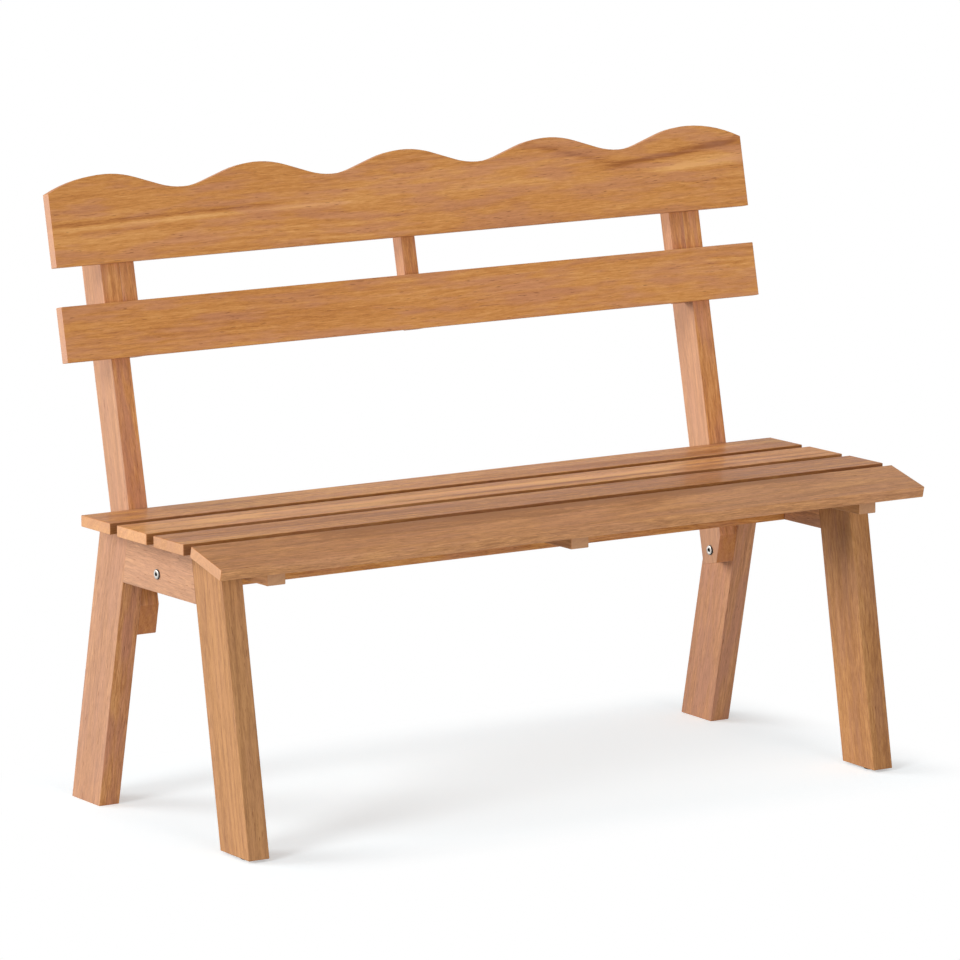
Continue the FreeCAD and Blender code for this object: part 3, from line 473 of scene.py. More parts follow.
def plating_group():
    """Dull zinc plating with a grey film in clouds over it and fine flecks in its roughness and
    relief.
    """
    tree, given, result = new_group(
        "Zinc plating", {"Place": (0.0, 0.0, 0.0), "Zinc": ANY_COLOUR, "Film": ANY_COLOUR,
                         "Seed": 0.0},
        {"Colour": "Color", "Roughness": "Float", "Height": "Float"})
    cloud = stretched_noise(tree, given["Place"], (420.0, 420.0, 420.0), given["Seed"], 4.0, 0.6)
    fleck = stretched_noise(tree, given["Place"], (1900.0, 1900.0, 1900.0), given["Seed"])
    film = spread(tree, cloud, *FILM_BY_CLOUDS)
    colour = mix_colour(tree, film, given["Zinc"], given["Film"])
    tree.links.new(colour, result["Colour"])
    rough = maths(tree, "MULTIPLY_ADD", cloud, PLATING_ROUGHNESS["clouds"],
                  PLATING_ROUGHNESS["least"])
    rough = maths(tree, "MULTIPLY_ADD", fleck, PLATING_ROUGHNESS["flecks"], rough)
    tree.links.new(rough, result["Roughness"])
    tree.links.new(fleck, result["Height"])
    return tree


def use_group(tree, name, maker, values):
    """A shared effect placed in a material with its own values. The effect is made once."""
    effect = bpy.data.node_groups.get(name) or maker()
    made = add_node(tree, "ShaderNodeGroup", node_tree=effect)
    for label, source in values.items():
        feed(tree, made.inputs[label], source)
    return made


# Finishes

def new_finish(name, **constants):
    """A material with a Principled shader and its constant sockets set."""
    material = bpy.data.materials.new(name)
    material.use_nodes = True
    tree = material.node_tree
    shader = next(item for item in tree.nodes if item.type == "BSDF_PRINCIPLED")
    for label, number in constants.items():
        shader.inputs[label].default_value = number
    return material, tree, shader


def raise_relief(tree, shader, height, distance):
    """Bump the surface by a height that stays a fraction of distance."""
    bump = add_node(tree, "ShaderNodeBump")
    feed(tree, bump.inputs["Height"], height)
    feed(tree, bump.inputs["Distance"], distance)
    tree.links.new(bump.outputs["Normal"], shader.inputs["Normal"])


# Which way the grain runs, as angles that turn a board's length to X and its wide face to XY

def seat_grain(lean):
    """Along the bench, with the wide face up."""
    return Euler((math.radians(-lean), 0.0, 0.0))


def rail_grain(lean):
    """Along the bench, with the wide face forward."""
    return Euler((math.radians(lean - 90.0), 0.0, 0.0))


def deep_grain(lean):
    """From the front of the bench to its back."""
    return Euler((math.radians(-lean), 0.0, math.radians(-90.0)))


def upright_grain(lean):
    """Up the bench."""
    return Euler((math.radians(lean), math.radians(90.0), 0.0))


# Leans of the boards, in degrees. The whole bench is tipped back by the seat's slope.

SEAT_SLOPE = 0.85
FRONT_TILT = 14.4
BACK_TURN = 11.7 + SEAT_SLOPE
FRONT_LEG_TURN = 9.4 + SEAT_SLOPE
REAR_LEG_TURN = SEAT_SLOPE - 13.5

WOOD_SHEEN = {"Specular IOR Level": 0.12, "Coat Weight": 0.08, "Coat Roughness": 0.14}


def board_finish(node, turn, figure, streaks=()):
    """Wood finish for one board, in the board's own axes. Each streak is its strength and its
    values."""
    wood = bpy.context.scene.bench_wood
    low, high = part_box(node)
    centre = turn.to_matrix() @ ((low + high) / 2)
    material, tree, shader = new_finish("Hardwood " + node.replace("_", " "), **WOOD_SHEEN)
    where = add_node(tree, "ShaderNodeTexCoord")
    place = add_node(tree, "ShaderNodeMapping", vector_type="POINT")
    feed(tree, place.inputs["Vector"], where.outputs["Object"])
    place.inputs["Rotation"].default_value = turn
    place.inputs["Location"].default_value = -centre
    facing = add_node(tree, "ShaderNodeMapping", vector_type="VECTOR")
    feed(tree, facing.inputs["Vector"], where.outputs["Normal"])
    facing.inputs["Rotation"].default_value = turn
    colours = {label: getattr(wood, label.lower().replace(" ", "_"))[:] for label in WOOD_COLOURS}
    values = {"Place": place.outputs[0], "Facing": facing.outputs[0], **colours,
              "Ring Width": wood.ring_width, **figure}
    for strength, line in streaks:
        values["Shift"] = add_streak(tree, place.outputs[0], values.get("Shift", 0.0),
                                     strength, line)
    grain = use_group(tree, "Board grain", board_grain_group, values)
    tree.links.new(grain.outputs["Colour"], shader.inputs["Base Color"])
    tree.links.new(grain.outputs["Roughness"], shader.inputs["Roughness"])
    raise_relief(tree, shader, grain.outputs["Height"], wood.relief)
    return material


def add_streak(tree, place, shift, strength, line):
    """The shift with one more streak in it."""
    streak = use_group(tree, "Streak", streak_group, {"Place": place, **line})
    return maths(tree, "MULTIPLY_ADD", streak.outputs["Mask"], strength, shift)


def give_finish(node, material):
    """Put one material on all of a node of the model."""
    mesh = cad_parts[node].data
    mesh.materials.clear()
    mesh.materials.append(material)


def finish_boards(boards):
    """Each board is its turn, its figure and any streaks."""
    for node, board in boards.items():
        give_finish(node, board_finish(node, *board))


def smooth_by_angle(piece):
    """Round surfaces shade smoothly and real corners stay sharp."""
    bpy.ops.object.select_all(action="DESELECT")
    piece.select_set(True)
    bpy.context.view_layer.objects.active = piece
    bpy.ops.object.shade_smooth_by_angle(angle=SHARP_ANGLE)


# Boards of the seat, the leg frames and the back. A straw-coloured streak has a strength above
# nothing, and a russet one has one below it.

# The slats' edge tones darken and redden their front and back faces: a painted shade in the gaps
# between the slats.
SEAT_BOARDS = {
    "slat_rear": (seat_grain(-SEAT_SLOPE), {
        "Seed": 3.1, "Pith": (0.0, 0.06, 0.05), "Contrast": 1.5, "Shift": 0.1,
        "Ochre Share": 0.1, "Edge Tone": 0.6, "Tone": 1.04}, (
        (-0.8, {"Start": -0.62, "End": -0.20, "Level": 0.010, "Width": 0.010}),
        (-0.9, {"Start": 0.15, "End": 0.62, "Level": -0.012, "Width": 0.012}))),
    "slat_mid_rear": (seat_grain(-SEAT_SLOPE), {
        "Seed": 8.4, "Pith": (0.0, -0.02, -0.045), "Contrast": 1.5, "Ochre Share": 0.2,
        "Edge Tone": 0.6, "Tone": 1.1}, (
        (1.7, {"Start": -0.50, "End": 0.36, "Level": 0.006, "Width": 0.011}),
        (-1.8, {"Start": -0.20, "End": 0.62, "Level": -0.020, "Width": 0.006}),
        (-1.4, {"Start": 0.30, "End": 0.62, "Level": 0.004, "Width": 0.007}))),
    "slat_mid_front": (seat_grain(-SEAT_SLOPE), {
        "Seed": 15.7, "Pith": (0.0, 0.05, 0.08), "Contrast": 1.5, "Shift": -0.1,
        "Ochre Share": 0.15, "Tone": 0.99, "Edge Tone": 0.6}, (
        (-1.5, {"Start": 0.10, "End": 0.62, "Level": 0.034, "Width": 0.007}),
        (-1.0, {"Start": -0.62, "End": -0.10, "Level": 0.010, "Width": 0.008}))),
    "slat_front": (seat_grain(FRONT_TILT - SEAT_SLOPE), {
        "Seed": 21.2, "Pith": (0.0, 0.01, -0.035), "Pith Lean": 0.03, "Contrast": 1.5,
        "Rose Share": 0.2, "Ochre Share": 0.6, "Fawn Share": 0.12, "Tone": 1.1}, (
        (-2.0, {"Start": -0.40, "End": 0.48, "Level": 0.036, "Width": 0.011}),
        (-1.0, {"Start": -0.50, "End": 0.20, "Level": 0.014, "Width": 0.006}))),
    "seat_cleat_left": (deep_grain(-SEAT_SLOPE), {"Seed": 26.0, "Ochre Share": 0.6, "Tone": 0.9}),
    "seat_cleat_centre": (deep_grain(-SEAT_SLOPE), {"Seed": 27.5, "Ochre Share": 0.6, "Tone": 0.9}),
    "seat_cleat_right": (deep_grain(-SEAT_SLOPE), {"Seed": 29.3, "Ochre Share": 0.6, "Tone": 0.9}),
}
# Side shares pale the wide side faces of the legs: a painted sheen of the lamps at the left.
LEG_FRAME_BOARDS = {
    "leg_front_left": (upright_grain(FRONT_LEG_TURN), {
        "Seed": 33.6, "Ochre Share": 0.8, "Contrast": 1.4, "Tone": 0.85}),
    "leg_front_right": (upright_grain(FRONT_LEG_TURN), {
        "Seed": 36.9, "Ochre Share": 0.5, "Contrast": 1.3, "Tone": 0.81}),
    "leg_rear_left": (upright_grain(REAR_LEG_TURN), {
        "Seed": 41.3, "Rose Share": 0.4, "Side Share": 0.7, "Contrast": 1.4, "Tone": 0.96}),
    "leg_rear_right": (upright_grain(REAR_LEG_TURN), {
        "Seed": 45.8, "Rose Share": 0.5, "Side Share": 0.15, "Fawn Share": 0.3, "Contrast": 1.2}),
    # The aprons' fawn share is a painted sheen of the lamps at the left on their outer faces.
    "apron_left": (deep_grain(-SEAT_SLOPE), {
        "Seed": 51.1, "Ochre Share": 0.2, "Fawn Share": 0.8, "Contrast": 1.3, "Tone": 0.98}),
    "apron_right": (deep_grain(-SEAT_SLOPE), {
        "Seed": 54.7, "Fawn Share": 0.5, "Contrast": 1.2, "Tone": 1.12}),
    "stretcher": (seat_grain(-SEAT_SLOPE), {"Seed": 57.2, "Tone": 0.95}),
}
# Paler, pinker ends of the rails: partly their sawn end grain, partly a painted sheen of the lamps
# at the left.
PALE_ENDS_AND_SHEEN = (0.56, 0.34, 0.26)
# Side shares pale the wide side faces of the posts and battens: a painted sheen of the lamps at the
# left.
BACK_BOARDS = {
    "back_post_left": (upright_grain(BACK_TURN), {
        "Seed": 61.4, "Rose Share": 0.3, "Side Share": 0.75}),
    "back_post_right": (upright_grain(BACK_TURN), {
        "Seed": 66.2, "Rose Share": 0.3, "Side Share": 0.75}),
    "back_batten_left": (upright_grain(BACK_TURN), {
        "Seed": 71.9, "Rose Share": 0.3, "Side Share": 0.5}),
    "back_batten_centre": (upright_grain(BACK_TURN), {
        "Seed": 74.3, "Rose Share": 0.3, "Side Share": 0.5}),
    "back_batten_right": (upright_grain(BACK_TURN), {
        "Seed": 78.8, "Rose Share": 0.3, "Side Share": 0.5}),
    "lower_rail": (rail_grain(BACK_TURN), {
        "Seed": 83.5, "Pith": (0.0, 0.09, 0.02), "Shift": 0.25, "Contrast": 0.66,
        "Rose Share": 0.05, "End Grain": PALE_ENDS_AND_SHEEN}, (
        (-0.15, {"Start": -0.66, "End": -0.05, "Level": 0.0, "Width": 0.06}),)),
    "top_rail": (rail_grain(BACK_TURN), {
        "Seed": 88.1, "Pith": (0.0, 0.01, 0.05), "Shift": 0.14, "Contrast": 0.62,
        "End Grain": PALE_ENDS_AND_SHEEN}, (
        (-0.12, {"Start": -0.66, "End": -0.10, "Level": 0.0, "Width": 0.06}),
        (0.9, {"Start": -0.62, "End": -0.08, "Level": -0.0041, "Slope": 0.0131, "Width": 0.004}),
        (-0.7, {"Start": -0.62, "End": -0.20, "Level": 0.0035, "Slope": 0.0131, "Width": 0.004}),
        (-1.6, {"Start": 0.34, "End": 0.62, "Level": -0.022, "Slope": 0.098, "Width": 0.005}),
        (-0.9, {"Start": 0.20, "End": 0.40, "Level": 0.110, "Slope": -0.25, "Width": 0.006}),
        (1.3, {"Start": 0.42, "End": 0.62, "Level": -0.024, "Slope": 0.056, "Width": 0.006}))),
}


class BENCH_OT_seat(bpy.types.Operator):
    """Finish the four seat slats and the three cleats under them"""
    bl_idname = "bench.seat"
    bl_label = "Seat Boards"

    def execute(self, context):
        finish_boards(SEAT_BOARDS)
        return {"FINISHED"}


class BENCH_OT_leg_frames(bpy.types.Operator):
    """Finish the legs, the aprons and the stretcher"""
    bl_idname = "bench.leg_frames"
    bl_label = "Leg Frames"

    def execute(self, context):
        finish_boards(LEG_FRAME_BOARDS)
        return {"FINISHED"}


class BENCH_OT_back(bpy.types.Operator):
    """Finish the posts, the battens and the two rails of the back"""
    bl_idname = "bench.back"
    bl_label = "Back Boards"

    def execute(self, context):
        finish_boards(BACK_BOARDS)
        return {"FINISHED"}


# Fittings

PLATING_RELIEF = 0.00004
PAINTED_SHADE_RELIEF = 0.00005
MOULDED_RELIEF = 0.00006


def zinc_finish(name, seed):
    """Zinc plating for one group of fittings."""
    fittings = bpy.context.scene.bench_fittings
    material, tree, shader = new_finish(name, **{"Metallic": 0.85, "Specular IOR Level": 0.5})
    where = add_node(tree, "ShaderNodeTexCoord")
    plating = use_group(tree, "Zinc plating", plating_group, {
        "Place": where.outputs["Object"], "Zinc": fittings.zinc[:], "Film": fittings.grime_and_shade[:],
        "Seed": seed})
    tree.links.new(plating.outputs["Colour"], shader.inputs["Base Color"])
    tree.links.new(plating.outputs["Roughness"], shader.inputs["Roughness"])
    raise_relief(tree, shader, plating.outputs["Height"], PLATING_RELIEF)
    return material


def painted_shade_finish():
    """Dark steel as painted shade inside the sockets and round the rims of the bolt heads. It
    is made once.
    """
    if "Dulled steel" in bpy.data.materials:
        return bpy.data.materials["Dulled steel"]
    fittings = bpy.context.scene.bench_fittings
    material, tree, shader = new_finish("Dulled steel", **{"Metallic": 0.7})
    where = add_node(tree, "ShaderNodeTexCoord")
    cloud = stretched_noise(tree, where.outputs["Object"], (700.0, 700.0, 700.0), 5.0, 3.0, 0.6)
    darker = [part * 0.4 for part in fittings.grime_and_shade]
    colour = mix_colour(tree, spread(tree, cloud, 0.35, 0.65), darker, fittings.grime_and_shade[:])
    tree.links.new(colour, shader.inputs["Base Color"])
    tree.links.new(spread(tree, cloud, 0.3, 0.7, 0.45, 0.65), shader.inputs["Roughness"])
    raise_relief(tree, shader, cloud, PAINTED_SHADE_RELIEF)
    return material


# Fastener shapes. A shape is a row of rings along +Z from its outer end, in millimetres. The
# bands between rings that take the dark steel, painted shade in the sockets and round the bolt
# heads' rims, are numbered from that end.

RING_POINTS = 24
RINGS_PER_TURN = 4    # rings of points in one turn of a thread
CROSS_ARM = 0.24      # half the width of a cross recess's arm, as a share of its reach
FLUTE_FLOOR = 0.93    # radius at the bottom of a flute, as a share of the dowel's
POINT_SHARE = 0.06    # width left at a screw's point, as a share of the shank's
SPIN_STEP = 2.4       # radians between the drives of one fastener and the next
SAME_LEVEL = 1e-5     # metres between points that lie at the same height
SAME_POINT = 1e-6     # metres between points that are one
NEARLY_ZERO = 1e-6
# Bands of dark steel: painted shade in the bolts' sockets and rims, and in the screws' recesses
BOLT_SHADED_BANDS = (0, 1, 4, 5)
SCREW_SHADED_BANDS = (0, 1)


def ring(height, radius, outline=lambda turn: 1.0):
    """One ring of points: its radius times what the outline gives for each turn."""
    turns = [math.tau * number / RING_POINTS for number in range(RING_POINTS)]
    return [Vector((radius * outline(turn) * math.cos(turn),
                    radius * outline(turn) * math.sin(turn), height)) for turn in turns]


def hexagon(turn):
    """Outline of a hex socket, as a share of its corner radius."""
    return math.cos(math.pi / 6) / math.cos(turn % (math.pi / 3) - math.pi / 6)


def cross(turn):
    """Outline of a cross recess, as a share of its arm."""
    across = max(abs(math.sin(turn)), NEARLY_ZERO)
    along = max(abs(math.cos(turn)), NEARLY_ZERO)
    return max(min(1 / along, CROSS_ARM / across), min(1 / across, CROSS_ARM / along))


def flutes(turn):
    """Outline of a fluted dowel: every other point is let in."""
    return 1.0 if round(turn * RING_POINTS / math.tau) % 2 else FLUTE_FLOOR


def thread(start, end, pitch, outer, depth, taper=0.0):
    """Rings of a screw thread that fades in at its start, and narrows over taper at its end."""
    rings = []
    steps = round((end - start) / pitch * RINGS_PER_TURN)
    for step in range(steps + 1):
        height = start + (end - start) * step / steps
        ridge = depth * min(1.0, (height - start) / pitch)
        narrow = min(1.0, (end - height) / taper) if taper else 1.0
        phase = height / pitch

        def outline(turn):
            wave = abs(2 * ((phase - turn / math.tau) % 1.0) - 1)
            return (outer - ridge * (1 - wave)) / outer * max(narrow, POINT_SHARE)
        rings.append(ring(height, outer, outline))
    return rings


def bolt_rings(length):
    """Flat-headed connector bolt with a hex socket and a machine thread."""
    corner = 5.0 / math.sqrt(3)
    socket = [ring(3.0, corner, hexagon), ring(0.25, corner, hexagon), ring(0.0, 3.15)]
    head = [ring(0.0, 6.0), ring(0.3, 6.75), ring(0.9, 7.4), ring(2.4, 7.5), ring(2.4, 3.0)]
    threaded = thread(start=length - 24.0, end=length - 1.0, pitch=1.0, outer=3.0, depth=0.5)
    return socket + head + threaded + [ring(length, 2.0)]


def screw_rings(length):
    """Pan-head wood screw with a cross recess and a coarse thread down to its point."""
    recess = [ring(1.8, 0.5), ring(1.5, 1.2, cross), ring(0.1, 2.3, cross), ring(0.0, 2.75)]
    head = [ring(0.3, 3.3), ring(0.9, 3.8), ring(1.6, 4.0), ring(2.5, 4.0), ring(2.5, 1.9)]
    threaded = thread(start=10.0, end=length, pitch=2.2, outer=2.0, depth=0.55, taper=6.0)
    return recess + head + threaded


def insert_nut_rings(length):
    """Threaded insert with a coarse wood thread outside and a hex drive in its mouth."""
    mouth = [ring(0.0, 3.7, hexagon), ring(0.0, 4.5), ring(0.5, 4.9)]
    threaded = thread(start=1.0, end=length - 1.5, pitch=2.8, outer=5.0, depth=0.8)
    tip = [ring(length - 0.5, 4.3), ring(length, 3.9), ring(length, 3.1)]
    drive = [ring(2.5, 3.1), ring(2.5, 3.7, hexagon)]
    return mouth + threaded + tip + drive


def dowel_rings(length):
    """Fluted dowel with eased ends."""
    return [ring(0.0, 3.0), ring(1.0, 4.0, flutes), ring(length - 1.0, 4.0, flutes),
            ring(length, 3.0)]


def add_skin(mesh, rings, matrix, closed, shaded_bands):
    """Skin the rings. A closed row joins its last ring to its first, as in a sleeve."""
    rows = [[mesh.verts.new(matrix @ (point * MILLIMETRE)) for point in points]
            for points in rings]
    pairs = list(zip(rows, rows[1:] + rows[:1] if closed else rows[1:]))
    for number, (first, second) in enumerate(pairs):
        for here in range(RING_POINTS):
            after = (here + 1) % RING_POINTS
            face = mesh.faces.new((first[here], first[after], second[after], second[here]))
            # Material one is the dark steel that paints the shade in sockets, recesses and rims
            face.material_index = 1 if number in shaded_bands else 0
    if not closed:
        mesh.faces.new(rows[0]).material_index = 1 if 0 in shaded_bands else 0
        mesh.faces.new(rows[-1])


def separate_solids(node):
    """Points of each separate solid of a node of the model."""
    mesh = bmesh.new()
    mesh.from_mesh(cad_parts[node].data)
    bmesh.ops.remove_doubles(mesh, verts=mesh.verts, dist=SAME_POINT)
    seen = set()
    solids = []
    for start in mesh.verts:
        if start in seen:
            continue
        seen.add(start)
        found = [start]
        for corner in found:
            for edge in corner.link_edges:
                other = edge.other_vert(corner)
                if other not in seen:
                    seen.add(other)
                    found.append(other)
        solids.append([corner.co.copy() for corner in found])
    mesh.free()
    return solids


def outwards(points):
    """Away from the middle of the bench, along its length."""
    return Vector((math.copysign(1.0, points[0].x), 0.0, 0.0))


def inwards(points):
    """Towards the middle of the bench, along its length."""
    return -outwards(points)


def into_slats(points):
    """Up, square to the seat."""
    lean = math.radians(SEAT_SLOPE)
    return Vector((0.0, math.sin(lean), math.cos(lean)))


def into_rails(points):
    """Forward, square to the back."""
    lean = math.radians(BACK_TURN)
    return Vector((0.0, -math.cos(lean), math.sin(lean)))


def upwards(points):
    """Straight up, as into a foot."""
    return Vector((0.0, 0.0, 1.0))


def replace_fasteners(name, node, direction, make_rings, finishes, closed=False,
                      shaded_bands=()):
    """One detailed fastener for each solid of the node, along its axis, as one piece."""
    mesh = bmesh.new()
    for number, points in enumerate(separate_solids(node)):
        axis = direction(points)
        reach = [point.dot(axis) for point in points]
        head = [point for point, level in zip(points, reach) if level < min(reach) + SAME_LEVEL]
        middle = sum(head, Vector()) / len(head)
        rings = make_rings((max(reach) - min(reach)) / MILLIMETRE)
        spin = Matrix.Rotation(SPIN_STEP * number, 4, "Z")
        turn = axis.to_track_quat("Z", "Y").to_matrix().to_4x4()
        add_skin(mesh, rings, Matrix.Translation(middle) @ turn @ spin, closed, shaded_bands)
    bmesh.ops.recalc_face_normals(mesh, faces=mesh.faces)
    data = bpy.data.meshes.new(name)
    mesh.to_mesh(data)
    mesh.free()
    piece = bpy.data.objects.new(name, data)
    bpy.context.scene.collection.objects.link(piece)
    for finish in finishes:
        data.materials.append(finish)
    smooth_by_angle(piece)
    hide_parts(node)
    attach(piece, "root")


BOLT_NODES = {"stretcher_bolts": inwards, "post_bolts": outwards, "seat_bolts": outwards,
              "back_bolts": outwards}
SCREW_NODES = {"seat_screws": into_slats, "back_screws": into_rails, "glide_screws": upwards}


class BENCH_OT_bolts(bpy.types.Operator):
    """Put socket-head bolts with cut threads in place of the plain ones"""
    bl_idname = "bench.bolts"
    bl_label = "Bolts"

    def execute(self, context):
        finishes = (zinc_finish("Zinc bolts", 1.0), painted_shade_finish())
        for node, direction in BOLT_NODES.items():
            replace_fasteners("threaded_" + node, node, direction, bolt_rings, finishes,
                              shaded_bands=BOLT_SHADED_BANDS)
        return {"FINISHED"}


class BENCH_OT_screws(bpy.types.Operator):
    """Put cross-recess wood screws in place of the plain ones"""
    bl_idname = "bench.screws"
    bl_label = "Screws"

    def execute(self, context):
        finishes = (zinc_finish("Zinc screws", 2.0), painted_shade_finish())
        for node, direction in SCREW_NODES.items():
            replace_fasteners("threaded_" + node, node, direction, screw_rings, finishes,
                              shaded_bands=SCREW_SHADED_BANDS)
        return {"FINISHED"}


class BENCH_OT_nuts(bpy.types.Operator):
    """Put threaded inserts in place of the plain sleeves, and plate the barrel nuts"""
    bl_idname = "bench.nuts"
    bl_label = "Nuts"

    def execute(self, context):
        finish = zinc_finish("Zinc nuts", 3.0)
        for node in ("leg_insert_nuts", "post_insert_nuts"):
            replace_fasteners("threaded_" + node, node, outwards, insert_nut_rings, (finish,),
                              closed=True)
        give_finish("stretcher_barrel_nuts", finish)
        return {"FINISHED"}


class BENCH_OT_dowels(bpy.types.Operator):
    """Put fluted dowels in place of the two plain ones of the stretcher"""
    bl_idname = "bench.dowels"
    bl_label = "Dowels"

    def execute(self, context):
        beech = bpy.context.scene.bench_fittings.beech[:]
        finish = board_finish("stretcher_dowels", seat_grain(0.0), {
            "Seed": 93.0, "Honey": beech, "Rose": beech, "Russet": [part * 0.8 for part in beech],
            "Straw": [min(1.0, part * 1.2) for part in beech]})
        replace_fasteners("fluted_stretcher_dowels", "stretcher_dowels", outwards, dowel_rings,
                          (finish,))
        return {"FINISHED"}


def plastic_finish():
    """Moulded black plastic with a fine spark texture."""
    fittings = bpy.context.scene.bench_fittings
    material, tree, shader = new_finish("Black plastic", **{"Specular IOR Level": 0.1})
    where = add_node(tree, "ShaderNodeTexCoord")
    spark = stretched_noise(tree, where.outputs["Object"], (2400.0, 2400.0, 2400.0), 1.0)
    scuff = stretched_noise(tree, where.outputs["Object"], (160.0, 160.0, 160.0), 2.0, 4.0)
    scuffed = [min(1.0, part * 2.0) for part in fittings.plastic]
    colour = mix_colour(tree, spread(tree, scuff, 0.5, 0.75), fittings.plastic[:], scuffed)
    tree.links.new(colour, shader.inputs["Base Color"])
    tree.links.new(spread(tree, scuff, 0.3, 0.7, 0.55, 0.75), shader.inputs["Roughness"])
    raise_relief(tree, shader, spark, MOULDED_RELIEF)
    return material


class BENCH_OT_glides(bpy.types.Operator):
    """Finish the plastic glides under the front feet"""
    bl_idname = "bench.glides"
    bl_label = "Foot Glides"

    def execute(self, context):
        finish = plastic_finish()
        for node in ("foot_glide_left", "foot_glide_right"):
            give_finish(node, finish)
        return {"FINISHED"}


# Studio

# Each lamp: the setting that holds its strength, the way to it and how wide it looks, in degrees

LAMPS = {
    "Key lamp": ("key_strength", (-0.85, -0.27, 0.45), 22.0),
    "Front lamp": ("front_strength", (-0.05, -0.98, 0.15), 24.0),
    "Top lamp": ("top_strength", (-0.05, 0.0, 1.0), 40.0),
    "Rim lamp": ("rim_strength", (-0.75, 0.62, 0.22), 40.0),
}

# The floor keeps its shade as far out as the feet stand, and fades to white over a width outside
# them. Both are in metres.

FEET_REACH = (0.53, 0.26, 0.0)
FADE_WIDTH = 0.16
SENSOR_WIDTH = 36.0    # millimetres
FARTHEST_SEEN = 100.0    # metres


def white_rays(tree):
    """One where the camera looks, or where a reflection or a clear thing shows the room."""
    rays = add_node(tree, "ShaderNodeLightPath")
    seen = maths(tree, "MAXIMUM", rays.outputs["Is Camera Ray"], rays.outputs["Is Glossy Ray"])
    return maths(tree, "MAXIMUM", seen, rays.outputs["Is Transmission Ray"])


def build_room(studio):
    """Soft light from all around, in a room that looks white."""
    world = bpy.data.worlds.new("White room")
    world.use_nodes = True
    tree = world.node_tree
    background = next(item for item in tree.nodes if item.type == "BACKGROUND")
    background.inputs["Color"].default_value = (1.0, 1.0, 1.0, 1.0)
    seen = white_rays(tree)
    strength = spread(tree, seen, 0.0, 1.0, studio.room_strength, 1.0, smooth=False)
    tree.links.new(strength, background.inputs["Strength"])
    bpy.context.scene.world = world


def build_floor(studio):
    """The square floor that the bench stands on."""
    half = studio.floor_size / 2
    mesh = bpy.data.meshes.new("studio_floor")
    mesh.from_pydata([(-half, -half, 0.0), (half, -half, 0.0), (half, half, 0.0),
                      (-half, half, 0.0)], [], [(0, 1, 2, 3)])
    mesh.materials.append(floor_finish(studio))
    floor = bpy.data.objects.new("studio_floor", mesh)
    bpy.context.scene.collection.objects.link(floor)


def floor_finish(studio):
    """White paint that keeps the bench's shadows. The camera sees a share of its shade over
    plain white, nothing but white far from the bench, and straight through it from below."""
    material = bpy.data.materials.new("Studio floor")
    material.use_nodes = True
    tree = material.node_tree
    tree.nodes.clear()
    seen = white_rays(tree)
    far = far_away(tree)
    near_share = spread(tree, far, 0.0, 1.0, studio.shadow_share, 0.0, smooth=False)
    near_white = spread(tree, far, 0.0, 1.0, studio.floor_lift, 1.0, smooth=False)
    hidden = maths(tree, "MULTIPLY", seen, maths(tree, "SUBTRACT", 1.0, near_share))
    share = maths(tree, "SUBTRACT", 1.0, hidden)
    paint = add_node(tree, "ShaderNodeBsdfDiffuse")
    colour = vector_maths(tree, "SCALE", studio.floor_colour[:], None, None, share)
    tree.links.new(colour, paint.inputs["Color"])
    white = add_node(tree, "ShaderNodeEmission")
    feed(tree, white.inputs["Color"], (1.0, 1.0, 1.0))
    tree.links.new(maths(tree, "MULTIPLY", seen, near_white), white.inputs["Strength"])
    both = add_node(tree, "ShaderNodeAddShader")
    tree.links.new(paint.outputs[0], both.inputs[0])
    tree.links.new(white.outputs[0], both.inputs[1])
    side = add_node(tree, "ShaderNodeNewGeometry")
    clear = add_node(tree, "ShaderNodeBsdfTransparent")
    either = add_node(tree, "ShaderNodeMixShader")
    tree.links.new(side.outputs["Backfacing"], either.inputs["Fac"])
    tree.links.new(both.outputs[0], either.inputs[1])
    tree.links.new(clear.outputs[0], either.inputs[2])
    end = add_node(tree, "ShaderNodeOutputMaterial")
    tree.links.new(either.outputs[0], end.inputs["Surface"])
    return material


def far_away(tree):
    """Nothing between the feet, rising to one a little way outside them."""
    where = add_node(tree, "ShaderNodeTexCoord")
    from_middle = vector_maths(tree, "ABSOLUTE", where.outputs["Object"])
    outside = vector_maths(tree, "SUBTRACT", from_middle, FEET_REACH)
    outside = vector_maths(tree, "MAXIMUM", outside, (0.0, 0.0, 0.0))
    distance = vector_maths(tree, "LENGTH", outside, output="Value")
    return spread(tree, distance, 0.0, FADE_WIDTH)


def build_lamp(name, strength, direction, angle):
    """A far lamp that shines from a direction, with soft edges to its shadows."""
    light = bpy.data.lights.new(name, "SUN")
    light.energy = strength
    light.angle = math.radians(angle)
    lamp = bpy.data.objects.new(name, light)
    lamp.rotation_euler = Vector(direction).to_track_quat("Z", "Y").to_euler()
    bpy.context.scene.collection.objects.link(lamp)


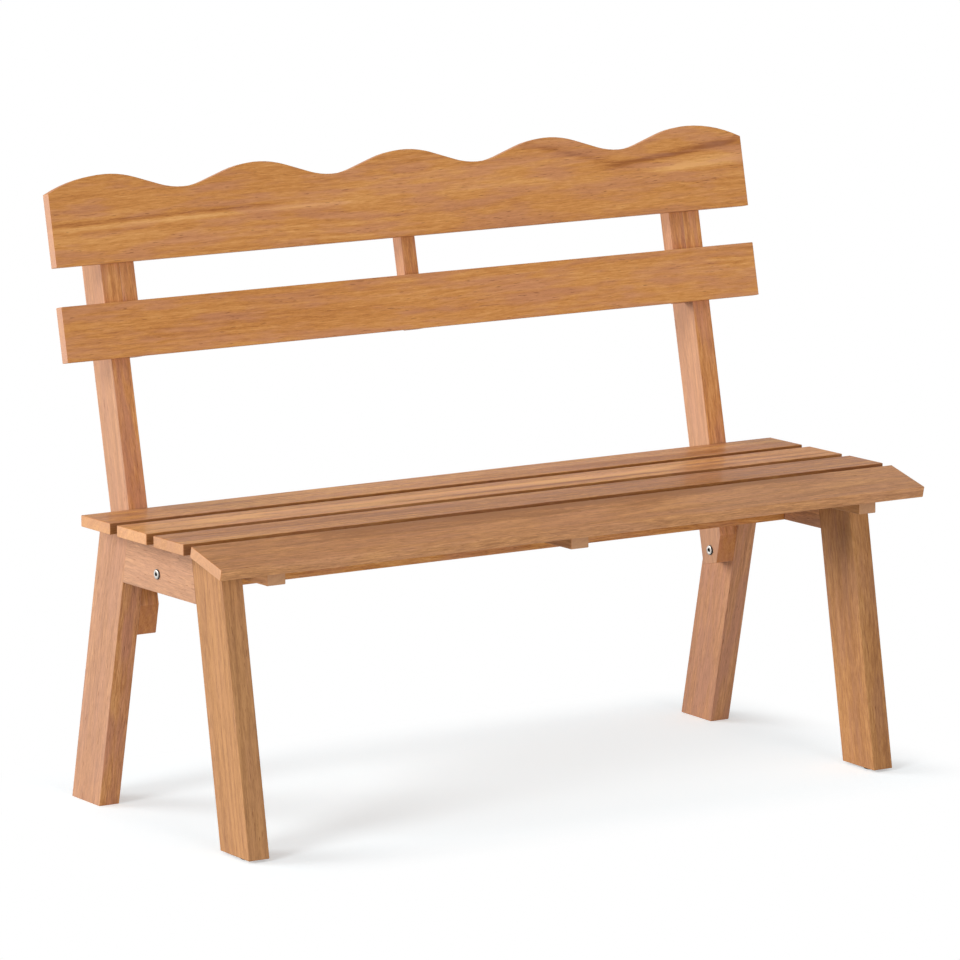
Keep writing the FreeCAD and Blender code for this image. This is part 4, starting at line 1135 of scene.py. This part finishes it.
def build_camera(studio):
    """The camera, at the photograph's angle."""
    data = bpy.data.cameras.new("Camera")
    data.sensor_fit = "HORIZONTAL"
    data.sensor_width = SENSOR_WIDTH
    data.lens = studio.focal_length
    data.clip_end = FARTHEST_SEEN
    camera = bpy.data.objects.new("Camera", data)
    camera.location = studio.camera_place
    camera.rotation_euler = studio.camera_turn
    bpy.context.scene.collection.objects.link(camera)
    bpy.context.scene.camera = camera


class BENCH_OT_studio(bpy.types.Operator):
    """Set the pale floor, the lamps, the white room and the camera"""
    bl_idname = "bench.studio"
    bl_label = "Studio"

    def execute(self, context):
        studio = context.scene.bench_studio
        build_room(studio)
        build_floor(studio)
        for name, (setting, direction, angle) in LAMPS.items():
            build_lamp(name, getattr(studio, setting), direction, angle)
        build_camera(studio)
        context.scene.view_settings.view_transform = "Standard"
        return {"FINISHED"}


# Panel and registration

STEPS = (BENCH_OT_seat, BENCH_OT_leg_frames, BENCH_OT_back, BENCH_OT_bolts, BENCH_OT_screws,
         BENCH_OT_nuts, BENCH_OT_dowels, BENCH_OT_glides, BENCH_OT_studio)
SETTINGS = {"bench_wood": BenchWood, "bench_fittings": BenchFittings,
            "bench_studio": BenchStudio}


class BENCH_PT_finishes(bpy.types.Panel):
    """Lists the settings and the steps of the bench"""
    bl_idname = "BENCH_PT_finishes"
    bl_label = "Bench Finishes"
    bl_space_type = "VIEW_3D"
    bl_region_type = "UI"
    bl_category = "Bench"

    def draw(self, context):
        for name, group in SETTINGS.items():
            box = self.layout.box()
            for label in group.__annotations__:
                box.prop(getattr(context.scene, name), label)
        for step in STEPS:
            self.layout.operator(step.bl_idname)


def register():
    for group in SETTINGS.values():
        bpy.utils.register_class(group)
    for name, group in SETTINGS.items():
        setattr(bpy.types.Scene, name, bpy.props.PointerProperty(type=group))
    for step in STEPS:
        bpy.utils.register_class(step)
    bpy.utils.register_class(BENCH_PT_finishes)


def unregister():
    bpy.utils.unregister_class(BENCH_PT_finishes)
    for step in reversed(STEPS):
        bpy.utils.unregister_class(step)
    for name, group in SETTINGS.items():
        delattr(bpy.types.Scene, name)
        bpy.utils.unregister_class(group)


def main():
    register()
    for step in STEPS:
        area, name = step.bl_idname.split(".")
        getattr(getattr(bpy.ops, area), name)()


if __name__ == "__main__":
    main()
